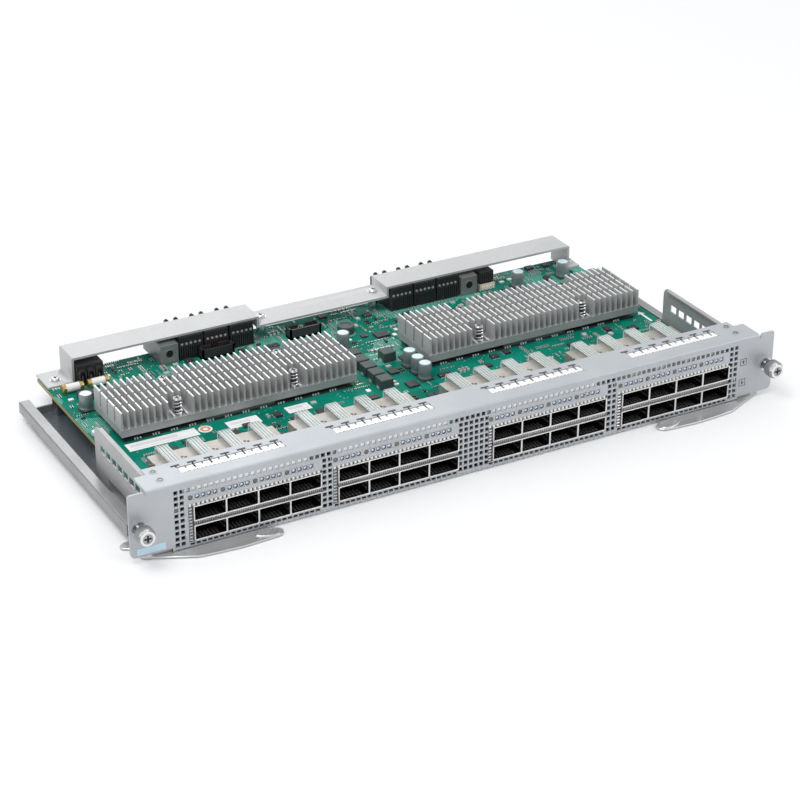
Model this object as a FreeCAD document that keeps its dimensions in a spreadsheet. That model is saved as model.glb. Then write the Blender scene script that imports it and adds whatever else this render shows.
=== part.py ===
import FreeCAD, Part
import os
import Sketcher
from FreeCAD import Placement, Rotation, Vector

# Switch line card.  Frame: +X to the right along the front panel, +Y from the
# panel's front face back into the card, +Z up from the flat underside.
# X = 0 is the middle of the panel, Y = 0 its front face, Z = 0 the underside.

doc = FreeCAD.newDocument("switch_line_card")
sheet = doc.addObject("Spreadsheet::Sheet", "dims")

# ---------------------------------------------------------------- dimensions
DRIVING = {
    # front panel
    "panel_half": 208.3, "panel_thick": 1.5, "panel_high": 41.7,
    "ear_low": 3.6, "low_half": 184.0,
    "flange_half": 197.5, "flange_deep": 23.5, "flange_end": 17.0, "sheet": 1.2,
    "hole_side": 2.4, "hole_pitch": 3.4, "row_pitch": 3.53, "row_top": 32.9,
    "window_gap": 0.35, "gasket_wide": 3.0,
    # ports: four groups of four columns and two rows
    "port_pitch": 19.0, "cage_deep": 62.0, "cage_wall": 0.5, "cage_high": 9.5,
    "cage_proud": 0.4, "socket_deep": 15.0,
    "group_a": -171.5, "group_b": -85.1, "group_c": 13.35, "group_d": 100.35,
    # main board
    "board_left": -184.0, "board_right": 188.0, "board_front": 4.0, "board_rear": 198.0,
    "board_low": 14.2, "board_thick": 2.4,
    # tray and guide rails
    "tray_half": 196.2, "tray_thick": 1.5, "tray_rear": 183.5, "rail_front": 21.0,
    "rail_out": 201.5, "rail_low": 4.9, "rail_high": 12.0, "lip_high": 6.0,
    "notch_in": 178.0, "notch_deep": 32.0,
    # side brackets
    "bracket_out": 191.0, "bracket_deep": 89.0, "bracket_high": 38.5, "bracket_lip": 5.0,
    # heat sinks
    "sink_wide": 149.6, "sink_deep": 40.5, "sink_base": 5.5, "sink_high": 15.6,
    "fin_thick": 1.3, "fin_gap": 2.708, "slot_wide": 1.7, "sink_front": 98.0,
    "sink_a": -171.3, "sink_b": 28.0, "chip_high": 3.8,
    # rear cover
    "cover_left": -168.0, "cover_right": 179.3, "cover_front": 181.0, "cover_deep": 20.0,
    "cover_top": 33.4, "strap_top": 27.2, "strap_left": -45.5, "strap_right": 43.5,
    "cover_thick": 1.4,
    # ejector levers
    "lever_low": 0.25, "lever_thick": 1.1, "pivot_x": 191.0, "pivot_y": 9.0, "pivot_r": 2.5,
    "run_gap": 0.06,
    # captive thumbscrews
    "thumb_x": 203.0, "thumb_z": 21.2, "thumb_r": 5.3, "thumb_long": 6.5,
    "shank_r": 2.0, "thumb_travel": 3.0,
}
COUNTS = {"fins": 38, "columns": 4}

for row, (alias, value) in enumerate(DRIVING.items(), start=1):
    sheet.set("A%d" % row, alias)
    sheet.set("B%d" % row, str(value))
    sheet.setAlias("B%d" % row, alias)
doc.recompute()


class Dim(float):
    """A length that remembers the spreadsheet expression it comes from."""

    def __new__(cls, value, text):
        made = float.__new__(cls, value)
        made.text = text
        return made

    def _mix(self, other, sign, value, swap=False):
        left, right = wording(self), wording(other)
        if swap:
            left, right = right, left
        return Dim(value, "(%s %s %s)" % (left, sign, right))

    def __add__(self, other):
        return self._mix(other, "+", float(self) + float(other))

    def __radd__(self, other):
        return self._mix(other, "+", float(other) + float(self), True)

    def __sub__(self, other):
        return self._mix(other, "-", float(self) - float(other))

    def __rsub__(self, other):
        return self._mix(other, "-", float(other) - float(self), True)

    def __mul__(self, other):
        return self._mix(other, "*", float(self) * float(other))

    def __rmul__(self, other):
        return self._mix(other, "*", float(other) * float(self), True)

    def __truediv__(self, other):
        return self._mix(other, "/", float(self) / float(other))

    def __neg__(self):
        return Dim(-float(self), "(0 - %s)" % self.text)


def wording(value):
    """The expression text of a Dim or of a plain number."""
    if isinstance(value, Dim):
        return value.text
    number = round(float(value), 6)
    return "(%r)" % number if number < 0 else "%r" % number


class Dims:
    pass


d = Dims()
for alias, value in DRIVING.items():
    setattr(d, alias, Dim(value, "dims.%s" % alias))


def bind(thing, prop, value):
    """Set a property, with its expression where the value has one."""
    if isinstance(value, Dim):
        thing.setExpression(prop, value.text)
    else:
        target = thing
        parts = prop.split(".")
        if parts[0] == "Placement":
            place = thing.Placement
            setattr(place.Base, parts[2], float(value))
            thing.Placement = place
        else:
            setattr(target, prop, value)


def move(thing, x=None, y=None, z=None):
    for axis, value in (("x", x), ("y", y), ("z", z)):
        if value is not None:
            bind(thing, "Placement.Base." + axis, value)


# ------------------------------------------------------------ solid builders
def block(name, x, y, z):
    """A box from its low and high limits along each axis."""
    made = doc.addObject("Part::Box", name)
    for prop, (low, high) in zip(("Length", "Width", "Height"), (x, y, z)):
        size = high - low
        bind(made, prop, size if isinstance(size, Dim) else float(size))
    move(made, x[0], y[0], z[0])
    return made


TURN = {"z": Rotation(), "y": Rotation(Vector(1, 0, 0), -90), "x": Rotation(Vector(0, 1, 0), 90)}


def rod(name, radius, length, x, y, z, axis="z"):
    """A cylinder that starts at a point and runs along +X, +Y or +Z."""
    made = doc.addObject("Part::Cylinder", name)
    bind(made, "Radius", radius)
    bind(made, "Height", length)
    made.Placement = Placement(Vector(0, 0, 0), TURN[axis])
    move(made, x, y, z)
    return made


def cone(name, low_r, high_r, length, x, y, z, axis="z"):
    made = doc.addObject("Part::Cone", name)
    bind(made, "Radius1", low_r)
    bind(made, "Radius2", high_r)
    bind(made, "Height", length)
    made.Placement = Placement(Vector(0, 0, 0), TURN[axis])
    move(made, x, y, z)
    return made


def prism(name, sides, radius, length, x, y, z, axis="z"):
    """A regular prism, for small repeated pieces."""
    made = doc.addObject("Part::Prism", name)
    made.Polygon = sides
    bind(made, "Circumradius", radius)
    bind(made, "Height", length)
    made.Placement = Placement(Vector(0, 0, 0), TURN[axis])
    move(made, x, y, z)
    return made


def cut(name, base, tools):
    tool = tools[0] if len(tools) == 1 else fuse(name + "_tools", tools)
    made = doc.addObject("Part::Cut", name)
    made.Base, made.Tool = base, tool
    return made


def fuse(name, shapes):
    made = doc.addObject("Part::MultiFuse", name)
    made.Shapes = shapes
    made.Refine = True
    return made


def group(name, shapes):
    """Several separate solids that share one node."""
    made = doc.addObject("Part::Compound", name)
    made.Links = shapes
    return made


NODES = []


def node(thing, label=None):
    thing.Label = label or thing.Name
    NODES.append(thing)
    return thing


# -------------------------------------------------------- PartDesign builders
def body(name):
    return doc.addObject("PartDesign::Body", name)


def plane(owner, role):
    return [f for f in owner.Origin.OriginFeatures if f.Role == role][0]


def sketch(owner, name, role, offset=0.0):
    made = owner.newObject("Sketcher::SketchObject", name)
    made.AttachmentSupport = [(plane(owner, role), "")]
    made.MapMode = "FlatFace"
    made.AttachmentOffset = Placement(Vector(0, 0, float(offset)), Rotation())
    if isinstance(offset, Dim):
        made.setExpression("AttachmentOffset.Base.z", offset.text)
    return made


def polygon(drawing, points):
    """A closed outline whose corners are driven from the spreadsheet."""
    first = drawing.GeometryCount
    count = len(points)
    spots = [Vector(float(u), float(v), 0) for u, v in points]
    for i in range(count):
        drawing.addGeometry(Part.LineSegment(spots[i], spots[(i + 1) % count]), False)
    for i in range(count):
        drawing.addConstraint(Sketcher.Constraint("Coincident", first + i, 2, first + (i + 1) % count, 1))
    for i, (u, v) in enumerate(points):
        for kind, value, axis in (("DistanceX", u, -2), ("DistanceY", v, -1)):
            if abs(float(value)) < 1e-9:
                drawing.addConstraint(Sketcher.Constraint("PointOnObject", first + i, 1, axis))
                continue
            index = drawing.addConstraint(
                Sketcher.Constraint(kind, -1, 1, first + i, 1, float(value)))
            if isinstance(value, Dim):
                drawing.setExpression("Constraints[%d]" % index, value.text)


def rectangle(drawing, u, v):
    polygon(drawing, [(u[0], v[0]), (u[1], v[0]), (u[1], v[1]), (u[0], v[1])])


def disc(drawing, u, v, radius):
    index = drawing.addGeometry(Part.Circle(Vector(float(u), float(v), 0), Vector(0, 0, 1), float(radius)), False)
    for kind, value in (("DistanceX", u), ("DistanceY", v)):
        if abs(float(value)) < 1e-9:
            drawing.addConstraint(Sketcher.Constraint("PointOnObject", index, 3, -2 if kind == "DistanceX" else -1))
            continue
        at = drawing.addConstraint(Sketcher.Constraint(kind, -1, 1, index, 3, float(value)))
        if isinstance(value, Dim):
            drawing.setExpression("Constraints[%d]" % at, value.text)
    at = drawing.addConstraint(Sketcher.Constraint("Radius", index, float(radius)))
    if isinstance(radius, Dim):
        drawing.setExpression("Constraints[%d]" % at, radius.text)


def pad(owner, name, drawing, length, backwards=False):
    made = owner.newObject("PartDesign::Pad", name)
    made.Profile = drawing
    made.Refine = False
    made.Reversed = backwards
    bind(made, "Length", length)
    drawing.Visibility = False
    return made


def pocket(owner, name, drawing, length=None, backwards=False):
    made = owner.newObject("PartDesign::Pocket", name)
    made.Profile = drawing
    made.Refine = False
    made.Reversed = backwards
    if length is None:
        made.Type = 1
    else:
        bind(made, "Length", length)
    drawing.Visibility = False
    return made


def repeat(owner, name, feature, drawing, axis, length, count, backwards=False):
    made = owner.newObject("PartDesign::LinearPattern", name)
    made.Originals = [feature]
    made.Refine = False
    made.Direction = (drawing, [axis])
    made.Reversed = backwards
    bind(made, "Length", length)
    made.Occurrences = count
    owner.Tip = made
    return made


GROUPS = [("1", d.group_a), ("2", d.group_b), ("3", d.group_c), ("4", d.group_d)]
board_top = d.board_low + d.board_thick
group_wide = d.port_pitch * COUNTS["columns"] + d.cage_wall
low_cage = d.board_low - d.cage_high
high_cage = board_top + d.cage_high

# ---------------------------------------------------------------- front panel
# One folded sheet: the perforated face, two ears for the thumbscrews, and the
# top flange with four rows of finger windows.
panel = body("front_panel")
face = sketch(panel, "panel_outline", "XZ_Plane")
notch_x = d.flange_half + 0.8
polygon(face, [
    (-d.panel_half, d.ear_low), (-d.low_half, d.ear_low), (-d.low_half, 0.0), (-d.notch_in, 0.0),
    (-d.notch_in, d.tray_thick), (d.notch_in, d.tray_thick), (d.notch_in, 0.0),
    (d.low_half, 0.0), (d.low_half, d.ear_low), (d.panel_half, d.ear_low),
    (d.panel_half, d.panel_high), (notch_x + 1.0, d.panel_high), (notch_x, d.panel_high - 2.6),
    (d.flange_half, d.panel_high), (-d.flange_half, d.panel_high),
    (-notch_x, d.panel_high - 2.6), (-notch_x - 1.0, d.panel_high), (-d.panel_half, d.panel_high)])
pad(panel, "panel_plate", face, d.panel_thick, True)
# perforated blocks between and beside the groups: first column, count
BLOCKS = [(-d.low_half + 2.8, 2), (d.group_a + group_wide + 1.55, 2), (d.group_b + group_wide + 1.35, 5),
          (d.group_c + group_wide + 1.55, 2), (d.low_half - 6.2, 2)]
half = d.hole_side / 2
long_row = sketch(panel, "row_hole", "XZ_Plane")
rectangle(long_row, (-d.low_half + 2.8 - half, -d.low_half + 2.8 + half),
          (d.row_top + d.row_pitch - half, d.row_top + d.row_pitch + half))
once = pocket(panel, "punch_row", long_row)
repeat(panel, "top_row", once, long_row, "H_Axis", d.low_half * 2 - 5.6, 105)
holes = sketch(panel, "hole_columns", "XZ_Plane")
for first, columns in BLOCKS:
    for column in range(columns):
        middle = first + d.hole_pitch * column
        rectangle(holes, (middle - half, middle + half), (d.row_top - half, d.row_top + half))
once = pocket(panel, "punch_columns", holes)
repeat(panel, "hole_rows", once, holes, "V_Axis", d.row_pitch * 8, 9, True)

# windows for the port groups, each with room for its gasket on the left side
windows = sketch(panel, "port_windows", "XZ_Plane")
for tag, left in GROUPS:
    rectangle(windows, (left - d.gasket_wide - d.window_gap, left + group_wide + d.window_gap),
              (low_cage - d.window_gap, high_cage + 1.7))
pocket(panel, "cut_windows", windows)

# thumbscrew bushing holes, flange windows and flange screw holes
ears = sketch(panel, "ear_holes", "XZ_Plane")
for side in (-1, 1):
    disc(ears, d.thumb_x * side, d.thumb_z, d.shank_r + 1.4)
pocket(panel, "cut_ears", ears)
node(panel)

# the folded top flange, kept as a node of its own
flange = body("top_flange")
top = sketch(flange, "flange_outline", "XY_Plane", d.panel_high - d.sheet)
step_x = d.flange_half - 7.0
polygon(top, [
    (-d.flange_half, d.panel_thick), (d.flange_half, d.panel_thick), (d.flange_half, d.flange_end),
    (step_x, d.flange_end), (step_x, d.flange_deep), (-step_x, d.flange_deep),
    (-step_x, d.flange_end), (-d.flange_half, d.flange_end)])
pad(flange, "flange_sheet", top, d.sheet)
SCREW_X, SCREW_Y = 186.0, (8.7, 18.3)
slots = sketch(flange, "flange_windows", "XY_Plane", d.panel_high)
for start in (d.group_a - 4.0, d.group_b + 2.5, d.group_c + 2.5, d.group_d + 10.5):
    rectangle(slots, (start, start + 5.9), (9.0, 17.8))
once = pocket(flange, "first_windows", slots, d.sheet * 2)
repeat(flange, "finger_windows", once, slots, "H_Axis", 7.55 * 8, 9)
screw_holes = sketch(flange, "flange_screw_holes", "XY_Plane", d.panel_high)
for side in (-1, 1):
    for y in SCREW_Y:
        disc(screw_holes, side * SCREW_X, y, 1.5)
pocket(flange, "cut_screw_holes", screw_holes, d.sheet * 2)
node(flange)

# ------------------------------------------------------- tray and guide rails
tray = body("tray_floor")
floor = sketch(tray, "floor_outline", "XY_Plane")
polygon(floor, [
    (-d.notch_in, 0.0), (d.notch_in, 0.0), (d.notch_in, d.notch_deep),
    (d.tray_half, d.notch_deep), (d.tray_half, d.tray_rear), (-d.tray_half, d.tray_rear),
    (-d.tray_half, d.notch_deep), (-d.notch_in, d.notch_deep)])
pad(tray, "floor_plate", floor, d.tray_thick)
node(tray)
lip = block("tray_rear_lip", (-d.tray_half + 3.0, d.tray_half - 3.0),
            (d.tray_rear - d.sheet, d.tray_rear), (d.tray_thick, d.lip_high))
node(lip)


def rail(name, side):
    """A hat-shaped runner: inner wall, flat top and a hanging outer lip."""
    made = body(name)
    profile = sketch(made, name + "_profile", "XZ_Plane", -d.rail_front)
    t = d.sheet
    points = [(d.tray_half - t, d.tray_thick), (d.tray_half, d.tray_thick), (d.tray_half, d.rail_high - t),
              (d.rail_out - t, d.rail_high - t), (d.rail_out - t, d.rail_low), (d.rail_out, d.rail_low),
              (d.rail_out, d.rail_high - 0.7), (d.rail_out - 0.7, d.rail_high), (d.tray_half - t, d.rail_high)]
    polygon(profile, [(u * side, v) for u, v in points])
    pad(made, name + "_length", profile, d.tray_rear - d.rail_front, True)
    # clear of the sweep of the ejector's hook
    swing = sketch(made, name + "_swing", "XY_Plane")
    rectangle(swing, ((d.tray_half - 2.0) * side, (d.rail_out - t) * side), (d.rail_front - 1.0, d.notch_deep))
    pocket(made, name + "_relief", swing, d.rail_low - 0.9, True)
    return node(made)


rail("left_guide_rail", -1)
rail("right_guide_rail", 1)

# ------------------------------------------------------------- side brackets
def bracket(name, side):
    """Upright side sheet: inward top lip, inward foot, row of square holes."""
    made = body(name)
    t = d.sheet
    profile = sketch(made, name + "_profile", "XZ_Plane", -d.panel_thick)
    foot = d.tray_thick + t
    points = [(d.bracket_out, foot), (d.bracket_out, d.bracket_high - 0.8), (d.bracket_out - 0.8, d.bracket_high),
              (d.bracket_out - d.bracket_lip, d.bracket_high), (d.bracket_out - d.bracket_lip, d.bracket_high - t),
              (d.bracket_out - t, d.bracket_high - t), (d.bracket_out - t, foot)]
    polygon(profile, [(u * side, v) for u, v in points])
    pad(made, name + "_length", profile, d.bracket_deep - d.panel_thick, True)
    opening = sketch(made, name + "_holes", "YZ_Plane")
    polygon(opening, [(9.0, 4.6), (71.0, 4.6), (71.0, 12.6), (9.0, 12.6)])
    for k in range(7):
        low = 26.6 + 8.06 * k
        rectangle(opening, (low, low + 4.4), (25.4, 29.2))
    # rounded rear top corner
    polygon(opening, [(d.bracket_deep - 4.0, d.bracket_high + 1.0), (d.bracket_deep - 4.0, d.bracket_high),
                      (d.bracket_deep - 1.2, d.bracket_high - 1.2), (d.bracket_deep, d.bracket_high - 4.0),
                      (d.bracket_deep + 1.0, d.bracket_high - 4.0), (d.bracket_deep + 1.0, d.bracket_high + 1.0)])
    cutter = pocket(made, name + "_cut", opening)
    cutter.Midplane = True
    # room for the ejector pivot's head in the foot of the wall
    relief = sketch(made, name + "_relief_outline", "YZ_Plane")
    rectangle(relief, (d.pivot_y - d.pivot_r - 1.4, d.pivot_y + d.pivot_r + 1.4), (foot - 0.5, 4.7))
    cutter = pocket(made, name + "_relief", relief)
    cutter.Midplane = True
    return node(made)


bracket("left_side_bracket", -1)
bracket("right_side_bracket", 1)

# foot strips that carry the brackets on the tray and over the ejector pivots
plates = []
for name, side in (("left_pivot_plate", -1), ("right_pivot_plate", 1)):
    low_x = -d.tray_half + 1.4 if side < 0 else d.notch_in - 2.0
    high_x = -d.notch_in + 2.0 if side < 0 else d.tray_half - 1.4
    strip = block(name + "_plate", (low_x, high_x), (d.panel_thick + 0.1, d.bracket_deep), (d.tray_thick, d.tray_thick + d.sheet))
    hole = rod(name + "_hole", d.pivot_r, d.sheet * 3, d.pivot_x * side, d.pivot_y, d.tray_thick - 1.0)
    plates.append(cut(name, strip, [hole]))
node(group("pivot_plates", plates))

# nut bars between the flange ends and the bracket lips
bars = []
for side in (-1, 1):
    bars.append(block("bar_%d" % (side + 1), (SCREW_X * side - 4.6, SCREW_X * side + 4.6), (d.panel_thick + 0.4, 22.8),
                      (d.bracket_high, d.panel_high - d.sheet)))
node(group("nut_bars", bars))
flange_screws = []
for side in (-1, 1):
    for y in SCREW_Y:
        tag = "%d_%d" % (side + 1, int(y))
        head = cone("flange_head_" + tag, 2.9, 2.2, 0.75, side * SCREW_X, y, d.panel_high)
        shaft = rod("flange_shaft_" + tag, 1.5, d.sheet, side * SCREW_X, y, d.panel_high - d.sheet)
        flange_screws.append(fuse("flange_screw_" + tag, [head, shaft]))
node(group("flange_screws", flange_screws))

# ------------------------------------------------------------------ main board
board = block("board_blank", (d.board_left, d.board_right), (d.board_front, d.board_rear), (d.board_low, board_top))
chips = block("board_corner", (d.board_right - 1.0, d.board_right + 5.0), (d.board_front - 1.0, 24.0), (d.board_low - 1.0, board_top + 1.0))
node(cut("main_board", board, [chips]))

STAND_X = (-179.5, -59.5, 60.5, 182.5)
STAND_Y = (117.0, 177.5)
stands, caps = [], []
for i, x in enumerate(STAND_X):
    for j, y in enumerate(STAND_Y):
        stands.append(prism("stand_%d%d" % (i, j), 6, 3.4, d.board_low - d.tray_thick, x, y, d.tray_thick))
        if j == 0:
            caps.append(cone("stand_cap_%d%d" % (i, j), 3.0, 2.2, 1.6, x, y, board_top))
node(group("board_standoffs", stands))
node(group("board_screws", caps))

# ----------------------------------------------------------------- port cages
def cage(name, left, upper):
    """A ganged cage of sheet-metal plates: roof, sole, five walls and a back."""
    w, proud = d.cage_wall, d.cage_proud
    low = board_top if upper else low_cage
    high = low + d.cage_high
    front, rear = -proud, -proud + d.cage_deep
    short = rear - d.socket_deep - 2.0
    outer, inner = ((high - w, high), (low, low + w)) if upper else ((low, low + w), (high - w, high))
    plates = [block(name + "_roof", (left, left + group_wide), (front, rear), outer),
              block(name + "_sole", (left, left + group_wide), (front, short), inner)]
    for k in range(COUNTS["columns"] + 1):
        at = left + d.port_pitch * k
        plates.append(block(name + "_wall_%d" % k, (at, at + w), (front, rear), (low + w, high - w)))
    for k in range(COUNTS["columns"]):
        at = left + d.port_pitch * k + w
        plates.append(block(name + "_flap_%d" % k, (at, at + d.port_pitch - w), (rear - w, rear), (low + w, high - w)))
    return node(group(name, plates))


def sockets(name, upper):
    """Edge-card sockets at the inner end of every bay."""
    made = []
    rear = -d.cage_proud + d.cage_deep - d.cage_wall - 0.4
    for tag, left in GROUPS:
        for k in range(COUNTS["columns"]):
            low_x = left + d.port_pitch * k + 1.3
            high_x = low_x + d.port_pitch - 2.2
            if upper:
                z = (board_top, board_top + 7.4)
            else:
                z = (d.board_low - 7.4, d.board_low)
            made.append(block("%s_%s_%d" % (name, tag, k), (low_x, high_x), (rear - d.socket_deep, rear), z))
    return node(group(name, made))


for tag, left in GROUPS:
    cage("upper_cage_" + tag, left, True)
    cage("lower_cage_" + tag, left, False)
sockets("upper_sockets", True)
sockets("lower_sockets", False)

# spring-finger gaskets: one bar down the left of each group and one above it
gaskets = []
for tag, left in GROUPS:
    side_bar = block("gasket_side_" + tag, (left - d.gasket_wide, left - 0.15),
                     (0.3, 1.2), (low_cage, high_cage))
    top_bar = block("gasket_top_" + tag, (left - d.gasket_wide, left + group_wide), (0.3, 1.2),
                    (high_cage, high_cage + 1.5))
    gaskets += [side_bar, top_bar]
    gaskets.append(block("mid_" + tag, (left + 0.3, left + group_wide - 0.3), (0.2, 3.6), (d.board_low + 0.05, board_top - 0.05)))
node(group("port_gaskets", gaskets))

# ------------------------------------------------------------------ light pipes
def light_pipes(name, left, strips):
    """Four bundles of four clear strips that run back over a group and bend down."""
    for column in range(COUNTS["columns"]):
        for k in range(4):
            at = left + d.port_pitch * column + 10.2 + 1.95 * k
            long = d.cage_deep + 6.0 - 1.4 * k
            over = block("%s_%d%d_over" % (name, column, k), (at, at + 1.3), (3.0, long), (high_cage + 2.4, high_cage + 3.8))
            riser = block("%s_%d%d_riser" % (name, column, k), (at, at + 1.3), (long - 1.4, long), (board_top, high_cage + 2.4))
            strips += [over, riser]


for name, pair in (("left_light_pipes", GROUPS[:2]), ("right_light_pipes", GROUPS[2:])):
    strips = []
    for tag, left in pair:
        light_pipes("pipe_" + tag, left, strips)
    node(group(name, strips))
lenses = []
for tag, left in GROUPS:
    for column in range(COUNTS["columns"]):
        lenses.append(prism("lens_%s_%d" % (tag, column), 8, 1.35, 2.4, left + d.port_pitch * column - 1.4, 1.6, d.row_top - 1.4, "y"))
node(group("port_lenses", lenses))

# ------------------------------------------------------------------ heat sinks
BOLT_LOCAL = ((36.8, 5.2), (110.6, 5.2), (40.8, 35.3), (114.6, 35.3))
sink_low = board_top + d.chip_high


def heat_sink(name, left):
    """Cross-cut plate-fin sink: base pad, one fin patterned across, three slots."""
    made = body(name)
    base = sketch(made, name + "_base_outline", "XY_Plane", sink_low)
    rectangle(base, (left, left + d.sink_wide), (d.sink_front, d.sink_front + d.sink_deep))
    pad(made, name + "_base", base, d.sink_base)
    fin = sketch(made, name + "_fin_outline", "XY_Plane", sink_low + d.sink_base - 0.2)
    rectangle(fin, (left, left + d.fin_thick), (d.sink_front, d.sink_front + d.sink_deep))
    single = pad(made, name + "_fin", fin, d.sink_high - d.sink_base + 0.2)
    repeat(made, name + "_fins", single, fin, "H_Axis", d.sink_wide - d.fin_thick, COUNTS["fins"])
    segment = (d.sink_deep - d.slot_wide * 3) / 4
    groove = sketch(made, name + "_groove", "XY_Plane", sink_low + d.sink_high)
    for k in range(3):
        low = d.sink_front + segment * (k + 1) + d.slot_wide * k
        rectangle(groove, (left - 1.0, left + d.sink_wide + 1.0), (low, low + d.slot_wide))
    # open bays for the four spring screws
    pocket(made, name + "_grooves", groove, d.sink_high - d.sink_base)
    bays = sketch(made, name + "_bays", "XY_Plane", sink_low + d.sink_high)
    for x, y in BOLT_LOCAL:
        if y < 20:
            span = (d.sink_front - 1.0, d.sink_front + segment + 0.9)
        else:
            span = (d.sink_front + d.sink_deep - segment - 0.9, d.sink_front + d.sink_deep + 1.0)
        rectangle(bays, (left + x - 5.1, left + x + 5.1), span)
    pocket(made, name + "_bay_cut", bays, d.sink_high - d.sink_base)
    bores = sketch(made, name + "_bores", "XY_Plane", sink_low + d.sink_base)
    for x, y in BOLT_LOCAL:
        disc(bores, left + x, d.sink_front + y, 1.8)
    pocket(made, name + "_bore_cut", bores, d.sink_base)
    return node(made)


heat_sink("left_heat_sink", d.sink_a)
heat_sink("right_heat_sink", d.sink_b)

screws, springs, seats, chips = [], [], [], []
for tag, left in (("left", d.sink_a), ("right", d.sink_b)):
    for k, (x, y) in enumerate(BOLT_LOCAL):
        px, py = left + x, d.sink_front + y
        shaft = prism("sink_shaft_%s_%d" % (tag, k), 8, 1.5, sink_low + 14.6 - board_top, px, py, board_top)
        head = rod("sink_head_%s_%d" % (tag, k), 3.3, 1.8, px, py, sink_low + 13.6)
        screws.append(fuse("sink_screw_%s_%d" % (tag, k), [shaft, head]))
        coil = prism("sink_coil_%s_%d" % (tag, k), 12, 2.9, 13.6 - d.sink_base - 0.05, px, py, sink_low + d.sink_base)
        core = prism("sink_core_%s_%d" % (tag, k), 12, 1.85, 13.6, px, py, sink_low + d.sink_base - 1.0)
        springs.append(cut("sink_spring_%s_%d" % (tag, k), coil, [core]))
    middle = left + d.sink_wide / 2
    chip = block("chip_" + tag, (middle - 22.0, middle + 22.0), (d.sink_front + 2.0, d.sink_front + 38.5), (board_top + 1.0, sink_low))
    plate = block("seat_" + tag, (left + 2.0, left + d.sink_wide - 2.0), (d.sink_front + 1.5, d.sink_front + d.sink_deep - 1.5), (board_top, board_top + 1.0))
    drills = [prism("seat_drill_%s_%d" % (tag, k), 8, 2.4, 3.0, left + x, d.sink_front + y, board_top - 1.0) for k, (x, y) in enumerate(BOLT_LOCAL)]
    drills.append(prism("seat_stand_" + tag, 8, 3.9, 3.0, STAND_X[1 if tag == "left" else 2], 117.0, board_top - 1.0))
    seats.append(cut(tag + "_sink_seat", plate, drills))
    chips.append(chip)
node(group("sink_seats", seats))
node(group("processors", chips))
node(group("sink_screws", screws))
node(group("sink_springs", springs))

# ------------------------------------------------------------------ rear cover
# A folded sheet that bridges the board's back edge: two tall bays, a lower
# strap in the middle and a screwed foot at each end.
cover = body("rear_cover")
run = sketch(cover, "cover_profile", "XZ_Plane", -d.cover_front)
t = d.cover_thick
foot_top = board_top + t
polygon(run, [
    (d.board_left + 0.5, board_top), (d.cover_left + t, board_top), (d.cover_left + t, d.cover_top - t),
    (d.strap_left - t, d.cover_top - t), (d.strap_left - t, d.strap_top - t),
    (d.strap_right + t, d.strap_top - t), (d.strap_right + t, d.cover_top - t),
    (d.cover_right - t, d.cover_top - t), (d.cover_right - t, board_top), (d.board_right - 0.5, board_top),
    (d.board_right - 0.5, foot_top), (d.cover_right, foot_top), (d.cover_right, d.cover_top - 0.8),
    (d.cover_right - 0.8, d.cover_top), (d.strap_right, d.cover_top), (d.strap_right, d.strap_top),
    (d.strap_left, d.strap_top), (d.strap_left, d.cover_top), (d.cover_left + 0.8, d.cover_top),
    (d.cover_left, d.cover_top - 0.8), (d.cover_left, foot_top), (d.board_left + 0.5, foot_top)])
pad(cover, "cover_length", run, d.cover_deep, True)
holes = sketch(cover, "cover_holes", "XY_Plane", d.strap_top)
disc(holes, -39.3, d.cover_front + 11.0, 1.7)
disc(holes, 39.2, d.cover_front + 11.0, 1.7)
pocket(cover, "cut_strap_holes", holes, t * 2)
feet = sketch(cover, "foot_holes", "XY_Plane", foot_top)
disc(feet, -176.0, d.cover_front + 8.0, 1.7)
disc(feet, 183.8, d.cover_front + 8.0, 1.7)
pocket(cover, "cut_foot_holes", feet, t * 2)
node(cover)

posts, cover_screws = [], []
for k, x in enumerate((-39.3, 39.2)):
    posts.append(rod("post_%d" % k, 3.2, d.strap_top - t - board_top, x, d.cover_front + 11.0, board_top))
for k, (x, y, z) in enumerate(((-39.3, 11.0, d.strap_top), (39.2, 11.0, d.strap_top), (-176.0, 8.0, foot_top), (183.8, 8.0, foot_top))):
    stem = rod("cover_stem_%d" % k, 1.5, t + 0.1, x, d.cover_front + y, z - t)
    head = cone("cover_head_%d" % k, 3.1, 2.4, 1.5, x, d.cover_front + y, z)
    cover_screws.append(fuse("cover_screw_%d" % k, [stem, head]))
node(group("cover_posts", posts))
node(group("cover_screws", cover_screws))

# -------------------------------------------------------- rear edge connectors
module_top = d.cover_top - t - 0.3
body_front = d.cover_front + 0.8
body_rear = d.board_rear - 1.0
def module(name, left, wide, fins=3):
    """Backplane receptacle: a tall block with a stepped mating nose at the back."""
    core = block(name + "_core", (left, left + wide), (body_front, body_rear), (board_top, module_top))
    nose = block(name + "_nose", (left + 0.5, left + wide - 0.5), (body_rear - 1.0, body_rear + 12.0), (board_top + 1.2, module_top - 2.0))
    return fuse(name, [core, nose])


for name, lefts in (("left_backplane_modules", (-99.6, -82.6, -65.6)), ("right_backplane_modules", (45.8, 62.4, 79.0))):
    node(group(name, [module("%s_%d" % (name, k), left, 15.6) for k, left in enumerate(lefts)]))
for name, left in (("left_guide_block", -112.4), ("right_guide_block", 96.2)):
    core = block(name + "_core", (left, left + 11.6), (178.2, 206.0), (board_top, module_top - 2.0))
    core_top = cut(name + "_relief", core, [block(name + "_step", (left - 1.0, left + 13.0), (170.0, d.cover_front + 0.5), (board_top + 12.6, module_top + 5.0))])
    bore = rod(name + "_bore", 3.2, 22.0, left + 5.8, 186.0, board_top + 6.8, "y")
    peep = rod(name + "_peep", 1.6, 12.0, left + 5.8, 176.0, board_top + 6.8, "y")
    node(cut(name, core_top, [fuse(name + "_drills", [bore, peep])]))

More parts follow.
